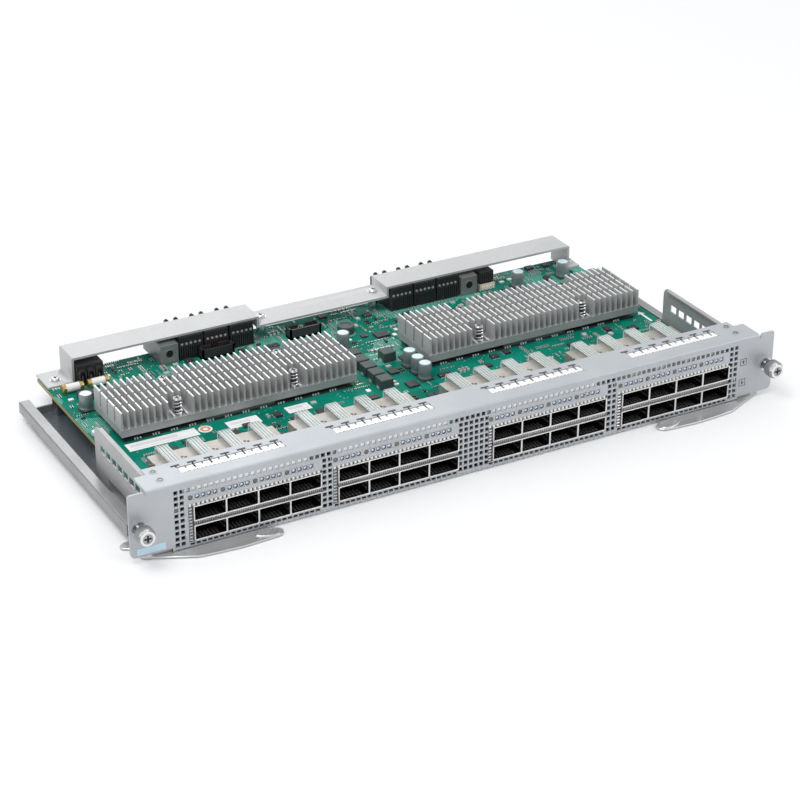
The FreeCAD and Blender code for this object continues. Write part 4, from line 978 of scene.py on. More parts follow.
# %% Flange fingers
def top_fingers(low, wide):
    """Bright plates in a flange window, like a comb: each has a rounded front edge, and slits cut in
    from behind, where every second slit is the stem of a dark T."""
    seams = np.append(np.arange(low, low + wide, FINGER_STEP), low + wide)
    zs = (HEIGHT - 0.9, HEIGHT - 0.4)
    parts = []
    for k, (a, b) in enumerate(zip(seams[:-1], seams[1:])):
        m, r = (a + b) / 2, min(0.9, (b - a) / 5)
        slit_a, slit_b = ((0.55, 13.2), (0.45, 14.6)) if k % 2 == 0 else ((0.45, 14.6), (0.55, 13.2))
        outline = [(a, 12.0), (a + 0.25, 11.2), (a + r, 10.75), (m - 0.5, 10.85), (m, 11.4),
                   (m + 0.5, 10.85), (b - r, 10.75), (b - 0.25, 11.2),
                   (b, 12.0), (b, slit_b[1]), (b - slit_b[0], slit_b[1]), (b - slit_b[0], 16.6),
                   (a + slit_a[0], 16.6),
                   (a + slit_a[0], slit_a[1]), (a, slit_a[1])]
        parts.append(flat(outline, *zs))
    # a black plate under the window: painted shade seen through the slits
    parts.append(brick((low - 2.8, low + wide + 0.5), (9.3, 20.2), (HEIGHT - 2.2, HEIGHT - 1.25), 1))
    return join(*parts)


piece("flange_fingers", join(*[top_fingers(low, wide) for low, wide in FINGERS]),
      [finger_steel, painted_shade_black])

# %% [markdown]
# ## Lamps and light guides
# One round lamp marks each column of two ports, and four clear strips per column
# carry light from the board over the cage to round ends beside it.  A strip is a small
# rounded section carried along a path that leaves the hole, runs over the cage and
# bends down.  Two thin white beads along its upper edges are painted highlights: they
# stand for the bright lines that clear plastic shows where it turns.

# %% Lamps and strips
dome = np.array([(0, -0.14), (0.6, -0.12), (1.0, -0.02), (1.22, 0.15), (1.25, 0.5), (1.25, 2.4), (0, 2.4)])
lamp = facing(turned(dome, 16), "y")
lamps = join(at(lamp, *[(x, 0.1, LAMP_Z) for x in LAMP_X]))
lamps = join(lamps, at(lamp, (STATUS[0], 0.1, STATUS[1])))
piece("status_lamps", lamps, [lamp_amber], stands_for=("port_lenses",))
halo = facing(turned([(0, 0.05), (0.35, -0.02), (0.8, 0.0), (1.02, 0.25), (1.05, 0.6), (1.05, 1.4),
                      (0, 1.4)], 16), "y")
# a ring of dark glass round each guide end: painted shadow of the hole
shadow_ring = turned([(0.95, 0.62), (1.5, 0.62), (1.5, 1.2), (0.95, 1.2), (0.95, 0.62)], 16, 1)
shadow_ring = facing(shadow_ring, "y")
# a white bar is a painted highlight on the lens, and a dark glass bar below it is painted shade
painted_glint_and_shade = join(brick((-0.62, 0.05), (-0.12, 0.02), (-0.1, 0.62), 2),
             brick((-0.1, 0.75), (-0.06, 0.1), (-0.7, -0.25), 1))
piece("guide_ends", at(join(halo, shadow_ring, painted_glint_and_shade), *[(x, 0.1, LAMP_Z) for x in PIPE_X]),
      [lamp_ring, lamp_glass_painted_shade, paper])


def light_strip(x_front, x_back, back):
    """A strip from its round end to the board: a forward part at lamp height, a slope, a bar
    and a bend down."""
    bar = TOP + CAGE_HIGH + 3.1
    path = [(x_front, 1.6, LAMP_Z), (x_front, 2.6, LAMP_Z), (x_front * 0.7 + x_back * 0.3, 4.2,
            LAMP_Z - 0.7), (x_back, 6.5, bar)]
    path += [(x_back, y, bar) for y in np.linspace(12, back - 2.6, 5)]
    turn = arc(back - 2.6, bar - 2.0, 2.0, 90, 0, 5)[1:]
    path += [(x_back, y, z) for y, z in turn]
    path += [(x_back, back - 0.6, z) for z in (22.0, TOP)]
    box = np.array([(0.55, -0.45), (0.55, 0.45), (0.42, 0.55), (-0.42, 0.55), (-0.55, 0.45), (-0.55, -0.45),
                    (-0.42, -0.55), (0.42, -0.55)])
    # two white beads along the upper edges are painted highlights
    highlight_bead = circle(0.22, 6)
    return join(swept(box, path, up=(1, 0, 0)), *[swept(highlight_bead + [a, b], path, up=(1, 0, 0), mark=1) for a,
            b in ((0.55, 0.5), (0.55, -0.5))])


for side, picks in (("left", (0, 1)), ("right", (2, 3))):
    strips = []
    for g in picks:
        for column in range(4):
            for k in range(4):
                front_x = LAMP_X[4 * g + column] + PIPE_STEP * (k + 1) + 0.6
                back_x = group_low[g] + COLUMN * column + 7.0 + 1.85 * k
                strips.append(light_strip(front_x, back_x, 66.2))
    piece(side + "_light_strips", join(*strips), [acrylic, acrylic_painted_highlight],
          stands_for=(side + "_light_pipes",))

# %% [markdown]
# ## Cross-cut heat sinks
# Each sink is a base pad with 38 fins, cut across by three slots, so it is a field of
# small tapered tongues.  A tongue is a box whose top is narrower, with a pale band at
# its tip that is a painted highlight.  Bays in the front and back rows make room for the
# screws.

# %% Sinks
def tongues(x, y0, y1, z0, z1, thick, taper, tip):
    """Tapered boxes at each x: rings at the root, below the tip and at the tip."""
    heights = np.array([z0, z1 - tip, z1 - tip, z1])
    half = np.array([thick / 2, thick / 2 - taper, thick / 2 - taper, thick / 2 - taper - 0.1])
    rings = np.array([[(-h, y0, z), (h, y0, z), (h, y1, z), (-h, y1, z)] for h, z in zip(half, heights)])
    faces = np.concatenate([net(2, 4, close_v=True), net(2, 4, close_v=True) + 8, [[0, 1, 2, 3]],
                            [[12, 13, 14, 15]]])
    # the band below the tip and the top take finish 1, a pale painted highlight
    marks = np.r_[np.zeros(4, int), np.ones(4, int), 0, 1]
    form = (rings.reshape(-1, 3), faces, marks)
    return at(form, *np.c_[x, np.zeros(len(x)), np.zeros(len(x))])


BOLTS = {}
FINS, FIN_THICK, SLOT, BOLT_ROOM = 38, 1.3, 1.7, 5.6
for side in ("left", "right"):
    low, high = span(side + "_heat_sink")
    wide, deep, root = high[0] - low[0], high[1] - low[1], low[2] + 4.4
    x = low[0] + FIN_THICK / 2 + (wide - FIN_THICK) / (FINS - 1) * np.arange(FINS)
    segment = (deep - 5.1) / 4
    bolts = np.array([(36.8, 5.2), (110.6, 5.2), (40.8, 35.3), (114.6, 35.3)])
    BOLTS[side] = bolts + low[:2]
    forms = [brick((low[0], high[0]), (low[1], high[1]), (low[2], root), 2)]
    for row in range(4):
        y0 = low[1] + (segment + SLOT) * row
        near = bolts[:2] if row == 0 else bolts[2:] if row == 3 else np.zeros((0, 2))
        free = np.all([np.abs(x - low[0] - b) > BOLT_ROOM for b in near[:, 0]],
                      axis=0) if len(near) else np.ones(FINS, bool)
        forms.append(tongues(x[free], y0, y0 + segment, root, high[2], FIN_THICK, 0.18, 0.35))
        if len(near):
            forms.append(tongues(x[~free], y0, y0 + segment, root, root + 1.6, FIN_THICK, 0.05, 0.4))
        forms.append(tongues(x, y0 - 0.2, y0 + 0.5, root - 0.05, root + 0.9, 2.2, 0.7, 0.4))
    piece(side + "_sink", join(*forms), [fin_metal, fin_tip_painted_highlight, fin_base],
          stands_for=(side + "_heat_sink",), sharp=20)

# %% [markdown]
# ## Spring screws of the sinks
# Four screws with coil springs press each sink on its chip.  A spring is a round
# wire on a helix, x = r cos t, y = r sin t, z growing with t, with flat end turns.
# The screw heads have a cross recess, whose edge is a plus sign in polar form; its walls
# and floor are painted near black as painted shade.

# %% Springs and cross heads
def coil(radius, wire_r, low, high, turns, steps=14):
    """A helix whose pitch fades in and out at both ends."""
    t = np.linspace(0, 2 * np.pi * turns, int(turns * steps) + 1)
    s = t / t[-1]
    rise = low + wire_r + (high - low - 2 * wire_r) * (s - np.sin(2 * np.pi * s) / (2 * np.pi) * 0.6)
    path = np.stack([radius * np.cos(t), radius * np.sin(t), rise], -1)
    return swept(circle(wire_r, 6), path)


def cross_head(radius, low, high, arm=1.9, half=0.42, deep=0.9, dome=0.3, steps=32):
    """A round head with a plus-shaped recess: in direction t the plus ends at
    max(min(arm/|cos t|, half/|sin t|), min(half/|cos t|, arm/|sin t|))."""
    corner = math.atan2(half, arm)
    marks = np.concatenate([q * np.pi / 2 + np.array([0, corner, np.pi / 4, np.pi / 2 - corner])
                            for q in range(4)])
    t = np.unique(np.r_[np.linspace(0, 2 * np.pi, steps, endpoint=False), marks].round(4))
    c, s = np.abs(np.cos(t)) + 1e-6, np.abs(np.sin(t)) + 1e-6
    plus = np.maximum(np.minimum(arm / c, half / s), np.minimum(half / c, arm / s))
    ones = np.ones_like(t)
    rings = [(0 * ones, low), (radius * ones, low), (radius * ones, high - dome),
             (radius * 0.82 * ones, high - 0.05), (radius * 0.72 * ones, high),
             (plus, high), (plus * 0.86, high - deep), (0 * ones, high - deep)]
    points = np.stack([np.stack([r * np.cos(t), r * np.sin(t), z * ones], -1) for r, z in rings])
    faces = net(len(rings), len(t), close_v=True)
    # the recess rings take finish 1, near-black painted shade
    marks = np.repeat([0, 0, 0, 0, 0, 1, 1], len(t))
    return points.reshape(-1, 3), faces, marks


spring_low = span("sink_springs")[0][2]
head_high = span("sink_screws")[1][2]
bolts, coils = [], []
for side in ("left", "right"):
    for k, (x, y) in enumerate(BOLTS[side]):
        top = head_high - (0.9 if k < 2 else 2.4)
        bolts.append(at(join(remark(turned([(0, TOP), (1.6, TOP), (1.6, top - 1.2), (0, top - 1.2)], 12),
                                    1), cross_head(2.95, top - 1.3, top, dome=0.7)), (x, y, 0)))
        coils.append(at(coil(2.65, 0.5, spring_low - 1.1, top - 1.3, 4.5), (x, y, 0)))
piece("sink_coils", join(*coils), [bright_steel], stands_for=("sink_springs",))
piece("sink_bolts", join(*bolts), [knob_steel, ink_and_recess_shade], stands_for=("sink_screws",))

# %% [markdown]
# ## Captive thumbscrews
# A knob has a knurled grip, which is a turned profile whose radius ripples with the
# angle, a plain rim, and a white washer face with a cross recess.  The knob rides its
# own body.  A real return spring closes up as the knob is pressed; here the coil rides
# the thumb carrier with a mesh of its own.

# %% Knobs and return springs
KNURLS, KNURL_DEEP = 36, 0.045


def ridge(t):
    """The grip's radius at angle t, as a share: it dips once for each knurl."""
    return 1 - KNURL_DEEP * (0.5 + 0.5 * np.cos(KNURLS * t))


for side in ("left", "right"):
    low, high = span(side + "_thumb_knob")
    cx, cz, front, back = (low[0] + high[0]) / 2, (low[2] + high[2]) / 2, -low[1], -high[1]
    grip_r, grip_back = (high[0] - low[0]) / 2, 5.4
    knurl = [(0, grip_back), (3.4, grip_back), (4.9, grip_back + 0.15), (5.25, grip_back + 0.7),
             (5.28, front - 1.9), (4.95, front - 1.3), (4.5, front - 0.75),
             (4.4, front - 0.1), (4.3, front), (3.0, front), (2.95, front - 0.15), (2.95, front - 1.2),
             (0, front - 1.2)]
    around = KNURLS * 6
    grip = turned(knurl, around, ripple=ridge)
    grip[2][around * 7:around * 9] = 1
    stem = turned([(0, back), (2.2, back), (2.4, back + 0.4), (2.4, grip_back + 0.1), (0, grip_back + 0.1)],
                  24, 3)
    keeper = turned([(2.0, -4.3), (3.1, -4.3), (3.1, -3.5), (2.0, -3.5), (2.0, -4.3)], 24, 3)
    face = cross_head(2.92, front - 1.1, front - 0.05, arm=2.3, half=0.55, deep=1.0, dome=0.15, steps=40)
    # the cross recess of the knob face takes the near-black ink as painted shade
    face = (face[0], face[1], np.where(face[2] > 0, 2, 0))
    points, faces, marks = join(grip, stem, keeper, face)
    points = points[:, (0, 2, 1)] * [1, -1, 1] + [cx, 0, cz]
    piece(side + "_knob", (points, faces, marks), [knob_steel, paper, ink_and_recess_shade, stem_steel],
          body=side + "_thumb",
          stands_for=(side + "_thumb_knob",), sharp=40)
    ring = coil(2.95, 0.34, 1.25, 5.35, 3.5)
    points = ring[0][:, (0, 2, 1)] * [1, -1, 1] + [cx, 0, cz]
    made = piece(side + "_return_spring", (points, ring[1], ring[2]), [spring_steel],
                 body=side + "_thumb_carrier",
                 stands_for=(side + "_thumb_spring",))
    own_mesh(made)

# %% [markdown]
# ## Ejector levers
# A lever is a polished blade whose outline is a smooth curve through a few points of
# the solid's own outline, with a hook beyond the pivot and a spoon at the finger end.
# The spoon is rings of one oval, each smaller and higher than the last.

# %% Levers
def smooth(points, steps=5):
    """A closed curve through points: on each stretch the cubic of Catmull and Rom,
    p = ((-u + 2uu - uuu) a + (2 - 5uu + 3uuu) b + (u + 4uu - 3uuu) c + (-uu + uuu) d) / 2."""
    p = np.asarray(points, float)
    a, b, c, d = np.roll(p, 1, 0), p, np.roll(p, -1, 0), np.roll(p, -2, 0)
    u = np.linspace(0, 1, steps, endpoint=False)[None, :, None]
    a, b, c, d = (q[:, None] for q in (a, b, c, d))
    curve = ((-u + 2 * u**2 - u**3) * a + (2 - 5 * u**2 + 3 * u**3) * b + (u + 4 * u**2 - 3 * u**3) * c
             + (-u**2 + u**3) * d) / 2
    return curve.reshape(-1, 2)


FRONT_EDGE = [(186.0, -6.6), (173.5, -10.0), (151.0, -12.0), (138.0, -11.6), (126.2, -10.8), (123.2, -9.0),
              (122.0, -6.4), (122.4, -3.8), (124.4, -1.5)]
HOOK = [(187.4, 16.2), (193.0, 17.0), (196.4, 18.2), (200.6, 22.0), (204.6, 21.4), (206.9, 19.2),
        (206.6, 16.6), (204.4, 15.4), (201.4, 12.8),
        (201.6, 6.6), (199.6, 1.2), (194.2, -3.2)]
for side, sign in (("left", -1), ("right", 1)):
    front = smooth(FRONT_EDGE, 4)[4:-8]
    hook = smooth(HOOK, 4)[4:-8]
    outline = np.concatenate([[(LOW_HALF + 0.35, 13.2)], hook, front,
                              [(127.6, -0.45), (LOW_HALF + 0.35, -0.45)]])
    blade = plate(outline * [sign, 1], 0.25, 1.35, 0.25)
    t = np.linspace(0, 2 * np.pi, 28, endpoint=False)
    oval = np.stack([130.6 + 7.6 * np.cos(t) * (1 + 0.10 * np.cos(t)), -6.0 + 0.06 * 7 * np.cos(t) + 4.7
                     * np.sin(t) * (1 - 0.25 * np.cos(t))], -1)
    middle = oval.mean(0)
    scale = np.array([1.0, 0.96, 0.88, 0.78, 0.6, 0.3, 0.0])
    lift = np.array([1.25, 1.7, 2.02, 2.14, 1.98, 1.86, 1.84])
    rings = middle + (oval - middle)[None] * scale[:, None, None]
    spoon = np.concatenate([rings * [sign, 1], np.broadcast_to(lift[:, None, None], (7, 28, 1))], -1)
    base_ring = spoon[:1] - [0, 0, 0.3]
    floor = np.broadcast_to((middle * [sign, 1]).tolist() + [0.95], (1, 28, 3))
    spoon = shape(np.concatenate([floor, base_ring, spoon]), net(9, 28, close_v=True))
    piece(side + "_lever", join(blade, spoon), [lever_steel], body=side + "_lever",
          stands_for=(side + "_ejector_lever",))

# %% [markdown]
# ## Backplane plugs
# Three receptacles on each side mate with the chassis.  A receptacle is a black
# moulding with a comb along its top, rounded bumps and slots on its front face, and
# a stack of thin wafers that stands proud at the back.

# %% Backplane receptacles
def row_of(xs, wide, ys, zs, mark=0):
    """Equal boxes side by side: each starts at one of xs and shares the same depth and height."""
    n = len(xs)
    return bricks(np.c_[xs, np.full(n, ys[0]), np.full(n, zs[0])], np.c_[xs + wide, np.full(n, ys[1]),
            np.full(n, zs[1])], mark)


for side in ("left", "right"):
    low, high = span(side + "_backplane_modules")
    pitch = (high[0] - low[0] - 15.6) / 2
    front = low[1] - 2.6
    forms = []
    for k in range(3):
        a = low[0] + pitch * k
        b = a + 15.6
        forms.append(brick((a + 0.2, b - 0.2), (front + 1.4, 197.0), (TOP, high[2])))
        forms.append(row_of(a + 0.35 + 1.27 * np.arange(12), 0.8, (front + 0.1, 200.0),
                            (high[2] - 3.0, high[2] + 0.1)))
        forms.append(brick((a, b), (front + 0.6, front + 2.0), (high[2] - 7.0, high[2] - 3.4)))
        bump = remark(facing(turned([(0, -0.75), (0.6, -0.6), (0.95, 0.0), (0.95, 1.0), (0, 1.0)], 12),
                             "y"), 1)
        forms.append(at(bump, *[(a + 2.0 + 2.9 * i, front + 0.6, high[2] - 5.0) for i in range(5)]))
        slots = a + 0.2 + 1.45 * np.arange(11)
        forms.append(row_of(slots, 0.7, (front, front + 1.6), (TOP + 0.6, high[2] - 6.8)))
        forms.append(row_of(slots + 0.8, 0.35, (front + 0.9, front + 1.6), (TOP + 2.6, TOP + 3.6), 1))
        forms.append(brick((a, b), (front, front + 1.6), (TOP, TOP + 1.2)))
        wafers = a + 0.75 + 0.94 * np.arange(16)
        forms.append(row_of(wafers, 0.5, (196.8, high[1]), (TOP + 1.4, high[2] - 2.5)))
        forms.append(brick((a + 0.5, b - 0.5), (196.9, high[1] - 3.0), (TOP + 1.2, high[2] - 3.0)))
        teeth = a + np.array([2.2, 8.6])
        forms.append(row_of(teeth, 2.4, (high[1] - 4.0, high[1] - 1.4), (high[2] - 3.2, high[2] - 0.2)))
        forms.append(row_of(teeth + 0.5, 1.3, (high[1] - 3.6, high[1] - 1.8),
                            (high[2] - 0.4, high[2] + 0.5)))
    piece(side + "_receptacles", join(*forms), [black, plug_grey],
          stands_for=(side + "_backplane_modules",))

# %% [markdown]
# ### The other plugs
# Beside the tall plugs stand a power plug with three hoods, two open box headers with
# gold pins, a small plug on a pale base and a block with a round mouth for the guide
# pin.  Each is a few boxes from one list, with outlines only where a form is round.

# %% Power plug, small plug, headers and guide blocks
low, high = span("power_connector")
hoods = []
for k in range(3):
    a = low[0] + 0.5 + 5.3 * k
    hood = np.concatenate([[(a, TOP + 0.4), (a, TOP + 7.6)], arc(a + 2.2, TOP + 8.0, 2.2, 170, 10, 7),
                           [(a + 4.4, TOP + 7.6), (a + 4.4, TOP + 0.4), (a + 3.7, TOP + 0.4),
                           (a + 3.7, TOP + 7.2)], arc(a + 2.2, TOP + 7.6, 1.5, 10, 170, 6),
                           [(a + 0.7, TOP + 7.2), (a + 0.7, TOP + 0.4)]])
    points, faces, marks = flat(hood, 175.6, 179.0)
    hoods.append((points[:, (0, 2, 1)], faces, marks))
power = join(brick((low[0], high[0]), (178.2, 199.0), (TOP, high[2] - 0.4)),
             brick((low[0] + 0.9, high[0] - 0.9), (196.0, high[1]), (TOP + 1.5, high[2] - 1.9)),
             brick((low[0], high[0]), (175.8, 178.3), (TOP, TOP + 1.0)), *hoods,
             row_of(low[0] + 2.2 + 5.3 * np.arange(3), 1.0, (176.5, 178.3), (TOP + 1.0, TOP + 6.0), 1))
piece("power_plug", power, [black, chip_grey], stands_for=("power_connector",), sharp=30)
headers = []
for left in (-87.6, -28.6):
    shell = [((left, 172.2, TOP), (left + 21.2, 179.2, TOP + 1.4)),
             ((left, 172.2, TOP), (left + 21.2, 173.3, TOP + 6.8)),
             ((left, 178.1, TOP), (left + 8.2, 179.2, TOP + 6.8)), ((left + 13.0, 178.1, TOP),
            (left + 21.2, 179.2, TOP + 6.8)),
             ((left, 172.2, TOP), (left + 1.2, 179.2, TOP + 6.8)), ((left + 20.0, 172.2, TOP),
            (left + 21.2, 179.2, TOP + 6.8))]
    shell = np.array(shell)
    headers.append(bricks(shell[:, 0], shell[:, 1]))
    pin = left + 2.9 + 2.0 * np.arange(8)
    headers += [row_of(pin, 0.6, (y, y + 0.6), (TOP + 1.2, TOP + 5.6), 1) for y in (174.6, 176.6)]
piece("headers", join(*headers), [black, gold_pad],
      stands_for=("box_headers", "header_pins"))
low, high = span("small_plug")
base = span("small_plug_base")[0]
pins = low[0] + 0.9 + 1.55 * np.arange(6)
plug = join(brick((low[0], high[0]), (low[1] - 1.0, high[1]), (TOP + 3.9, high[2])),
            row_of(pins - 0.3, 1.0, (low[1] - 1.6, low[1]), (TOP + 4.4, high[2] - 1.2)),
            brick((base[0], base[0] + 11.3), (base[1] - 1.6, base[1] + 4.0), (TOP, TOP + 4.0), 1),
            row_of(pins, 0.8, (base[1] - 2.4, base[1]), (TOP + 0.7, TOP + 3.2), 2))
piece("small_plug_detailed", plug, [black, beige, paper],
      stands_for=("small_plug", "small_plug_base"))
for side in ("left", "right"):
    low, high = span(side + "_guide_block")
    mouth = facing(turned([(2.35, -0.25), (3.0, -0.25), (3.1, -0.1), (3.1, 0.3), (2.35, 0.3),
                           (2.35, -0.25)], 28), "y")
    # the pit is a black disc inside the mouth: painted shade of the hole
    pit = remark(facing(turned([(0, -0.06), (2.4, -0.06), (2.4, 0.2), (0, 0.2)], 28), "y"), 1)
    middle = ((low[0] + high[0]) / 2, low[1] + 0.05, TOP + 6.8)
    piece(side + "_guide_mouth", at(join(mouth, pit), middle), [die_cast, painted_shade_black])

# %% [markdown]
# ## Cans, chokes and fuses
# The capacitors are aluminium cans with a crimped neck on a black foot.  The chokes
# are ferrite blocks with a recess round the winding and tinned ends.  The two fuses
# are white tubes with brass caps and pinched feet.

# %% Power parts
CANS = [(-173.2, 147.0), (-5.0, 147.7), (19.0, 107.3), (19.0, 97.4), (18.8, 88.0), (135.7, 174.0),
        (169.5, 173.6)]
can = turned([(0, TOP + 0.6), (3.85, TOP + 0.6), (4.0, TOP + 1.0), (4.0, TOP + 2.0), (3.78, TOP + 2.4),
              (3.78, TOP + 2.9), (4.0, TOP + 3.3),
              (4.0, TOP + 10.3), (3.7, TOP + 10.75), (3.4, TOP + 10.8), (3.3, TOP + 10.66)], 32)
lid = turned([(3.3, TOP + 10.66), (0, TOP + 10.66)], 32, 1)
foot = flat([(-4.2, -4.2), (4.2, -4.2), (4.2, 3.1), (3.1, 4.2), (-3.1, 4.2), (-4.2, 3.1)],
            TOP, TOP + 0.9, 2)
crescent = flat(np.concatenate([arc(0, 0, 3.25, 130, 230, 10), arc(-1.2, 0, 2.6, 250, 110, 10)]),
                TOP + 10.6, TOP + 10.72, 3)
cans = at(join(can, lid, foot, crescent), *[(x, y, 0) for x, y in CANS])
piece("cans", cans, [can_metal, can_top, chip_black, sleeve_blue],
      stands_for=("capacitors",), sharp=40)
CHOKES = [(-7.6, 130.0), (-7.6, 120.0), (-7.6, 110.0), (-7.6, 100.0), (-7.6, 90.0), (11.0, 121.0)]
corner = [(-4.2, -3.7), (-3.7, -4.2), (3.7, -4.2), (4.2, -3.7), (4.2, 3.7), (3.7, 4.2), (-3.7, 4.2),
          (-4.2, 3.7)]
ends = bricks([(-4.3, -1.6, TOP), (3.6, -1.6, TOP)], [(-3.6, 1.6, TOP + 1.6), (4.3, 1.6, TOP + 1.6)], 1)
core = join(plate(corner, TOP + 0.5, TOP + 6.4, 0.3),
            plate(np.array(corner) * 0.94, TOP + 0.1, TOP + 0.7, 0.1), ends)
pads = join(bricks([(6.0, -2.6, TOP), (6.0, 0.9, TOP)], [(8.6, -0.9, TOP + 1.0), (8.6, 2.6, TOP + 1.0)], 1),
            brick((6.6, 8.0), (-1.1, 1.1), (TOP, TOP + 1.3), 2))
drum = turned([(0, TOP), (5.2, TOP), (5.4, TOP + 0.3), (5.4, TOP + 4.4), (5.0, TOP + 5.0), (3.4, TOP + 5.0),
               (3.2, TOP + 4.6), (0, TOP + 4.6)], 32)
piece("chokes", join(at(core, *[(x, y, 0) for x, y in CHOKES]),
                     at(pads, *[(x, y, 0) for x, y in CHOKES[1:5]]), at(drum, (7.0, 167.0, 0))),
      [ferrite, terminal, ceramic_tan], stands_for=("inductors",))
tube = facing(turned([(0, 0), (2.5, 0), (2.5, 8.4), (0, 8.4)], 28), "x")
cap = facing(turned([(0, 0), (2.4, 0), (2.8, 0.35), (2.8, 2.0), (2.62, 2.4), (2.4, 2.4), (0, 2.4)], 28, 1),
             "x")
clip = bricks([(0.4, -2.0, -3.4)], [(2.0, 2.0, -1.4)], 1)
one = join(at(tube, (2.4, 0, 0)), at(join(cap, clip), (0, 0, 0), (10.8, 0, 0)))
piece("fuses", at(one, *[(x, 171.4, TOP + 3.4) for x in (-178.6, -162.6)]), [white_part, brass],
      stands_for=("fuse_tubes", "fuse_end_caps"), sharp=40)

# %% [markdown]
# ## Folded sheets and moulded blocks
# The cover, rails, guide blocks and chips have their true outline in the solids, so
# they get a finish, and all but the cover get rounded edges.  The brackets are drawn
# anew with larger windows and a narrower lip, and the tray as one flat outline.  What is
# left keeps its mesh.

# %% Dressed solids
def side_bracket(side):
    """An upright sheet with seven windows and a long low one, a round corner at its rear top
    and a narrow lip."""
    low, high = span(side + "_side_bracket")
    y0, y1, z0, z1 = low[1], high[1], low[2], high[2]
    outer = [(y0, z0), (y1, z0)] + list(map(tuple, arc(y1 - 5.0, z1 - 5.0, 5.0, 0, 90, 8))) + [(y0, z1)]
    windows = [[(y, 25.0), (y + 6.2, 25.0), (y + 6.2, 29.6), (y, 29.6)] for y in 25.6 + 8.2 * np.arange(7)]
    windows.append([(9.0, 4.6), (71.0, 4.6), (71.0, 12.6), (9.0, 12.6)])
    points, faces, marks = pierced(outer, windows, 0.0, 0.9)
    out = -1 if side == "left" else 1
    wall_x = high[0] - 0.9 if out > 0 else low[0]
    wall = (points[:, (2, 0, 1)] + [wall_x, 0, 0], faces, marks)
    lip_x = (wall_x - 1.9, wall_x + 0.4) if out > 0 else (wall_x + 0.5, wall_x + 2.8)
    lip = brick(lip_x, (y0, y1 - 5.4), (z1 - 1.2, z1 - 0.02))
    piece(side + "_bracket", join(wall, lip), [bracket_zinc],
          stands_for=(side + "_side_bracket",), bevel=0.2)


dressed("rear_cover", cover_zinc, bevel=0)
for side in ("left", "right"):
    side_bracket(side)
    dressed(side + "_guide_rail", rail_zinc, bevel=0.25)
    dressed(side + "_guide_block", die_cast, bevel=0.3)
dressed("processors", chip_grey, bevel=0.15)
dressed("board_chips", chip_black, bevel=0.12)
low, high = span("tray_floor")
outline = [(-178.0, 5.0), (178.0, 5.0), (178.0, 32.0), (high[0], 32.0), (high[0], high[1]),
           (low[0], high[1]), (low[0], 32.0), (-178.0, 32.0)]
piece("tray", flat(outline, 0.0, 1.5), [tray_zinc_painted_shade], stands_for=("tray_floor",))
PLAIN = {"tray_rear_lip": rail_zinc, "pivot_plates": bracket_zinc, "nut_bars": screw_steel,
         "main_board": mask_green, "board_standoffs": bright_steel, "board_screws": screw_steel,
         "upper_sockets": black, "lower_sockets": black,
         # the sink seats are black: partly a black insulator, partly painted shade under the sink bases
         "sink_seats": black, "cover_posts": bright_steel, "pivot_pins": bright_steel,
         "thumb_bushings": bright_steel}
for node, coat in PLAIN.items():
    frame["nodes"][node].data.materials.clear()
    frame["nodes"][node].data.materials.append(coat)

# %% [markdown]
# ## Screws of the sheets
# The flange screws sit in a dark ring, and the cover is held by pan heads with a cross
# recess, two on the strap and one on each foot.  Every cross recess is painted near black
# as painted shade.

# %% Sheet screws
ring = turned([(0, -0.3), (2.9, -0.3), (2.9, 0.1), (2.6, 0.16), (2.3, 0.1), (0, 0.1)], 28)
sunk = cross_head(1.9, 0.0, 0.34, arm=1.15, half=0.42, deep=0.3, dome=0.15, steps=24)
# the recess of each flange screw takes the near-black ink as painted shade
sunk = join(ring, (sunk[0], sunk[1], np.where(sunk[2] > 0, 1, 2)))
flange_spots = [(side * 186.0, y, HEIGHT) for side in (-1, 1) for y in (8.7, 18.3)]
piece("flange_heads", at(sunk, *flange_spots), [panel_coat, ink_and_recess_shade, stem_steel],
      stands_for=("flange_screws",))
cover_low = span("rear_cover")[0]
STRAP_TOP, FOOT_TOP = 27.2, TOP + 1.4
pan = join(remark(turned([(0, -0.2), (3.4, -0.2), (3.4, 0.25), (0, 0.25)], 28), 0),
           cross_head(2.7, 0.1, 1.6, arm=1.7, half=0.4, deep=0.8, dome=0.6, steps=28))
pan_spots = [(-39.3, cover_low[1] + 11, STRAP_TOP), (39.2, cover_low[1] + 11, STRAP_TOP),
             (-176.0, cover_low[1] + 8, FOOT_TOP), (183.8, cover_low[1] + 8, FOOT_TOP)]
piece("cover_heads", at(pan, *pan_spots), [screw_steel, ink_and_recess_shade],
      stands_for=("cover_screws",))

# %% [markdown]
# ## Labels and plain marks
# The stickers keep their outline and ruled fields, and carry no writing.  The ear has
# a pale blank plate, the face two small outlined arrows, and the board one arrow that
# shows which way the card slides.

# %% Labels
TAGS = [((-170.8, 87.4), (43.0, 9.0)), ((-109.9, 84.8), (20.0, 9.0)), ((-72.0, 86.0), (15.0, 8.0))]
tags = [brick((x, x + wide), (y, y + deep), (TOP, TOP + 0.15)) for (x, y), (wide, deep) in TAGS]
piece("tags", join(*tags), [paper], stands_for=("board_labels",))
marks = [brick((x + 2.0, x + wide * part), (y + up, y + up + tall), (TOP + 0.14, TOP + 0.19))
         for (x, y), (wide, _) in TAGS for part, up, tall in ((0.92, 1.7, 0.8), (0.72, 3.9, 2.6))]
piece("label_fields", join(*marks), [paper_grey])
disc = turned([(0, TOP), (4.1, TOP), (4.1, TOP + 0.14), (3.3, TOP + 0.14), (3.2, TOP + 0.14),
               (0, TOP + 0.14)], 32)
hoop_ring = remark(turned([(1.5, TOP + 0.13), (3.1, TOP + 0.13), (3.1, TOP + 0.18), (1.5, TOP + 0.18),
                           (1.5, TOP + 0.13)], 32), 1)
piece("round_label", at(join(disc, hoop_ring), (-122.7, 92.0, 0)), [paper, orange])
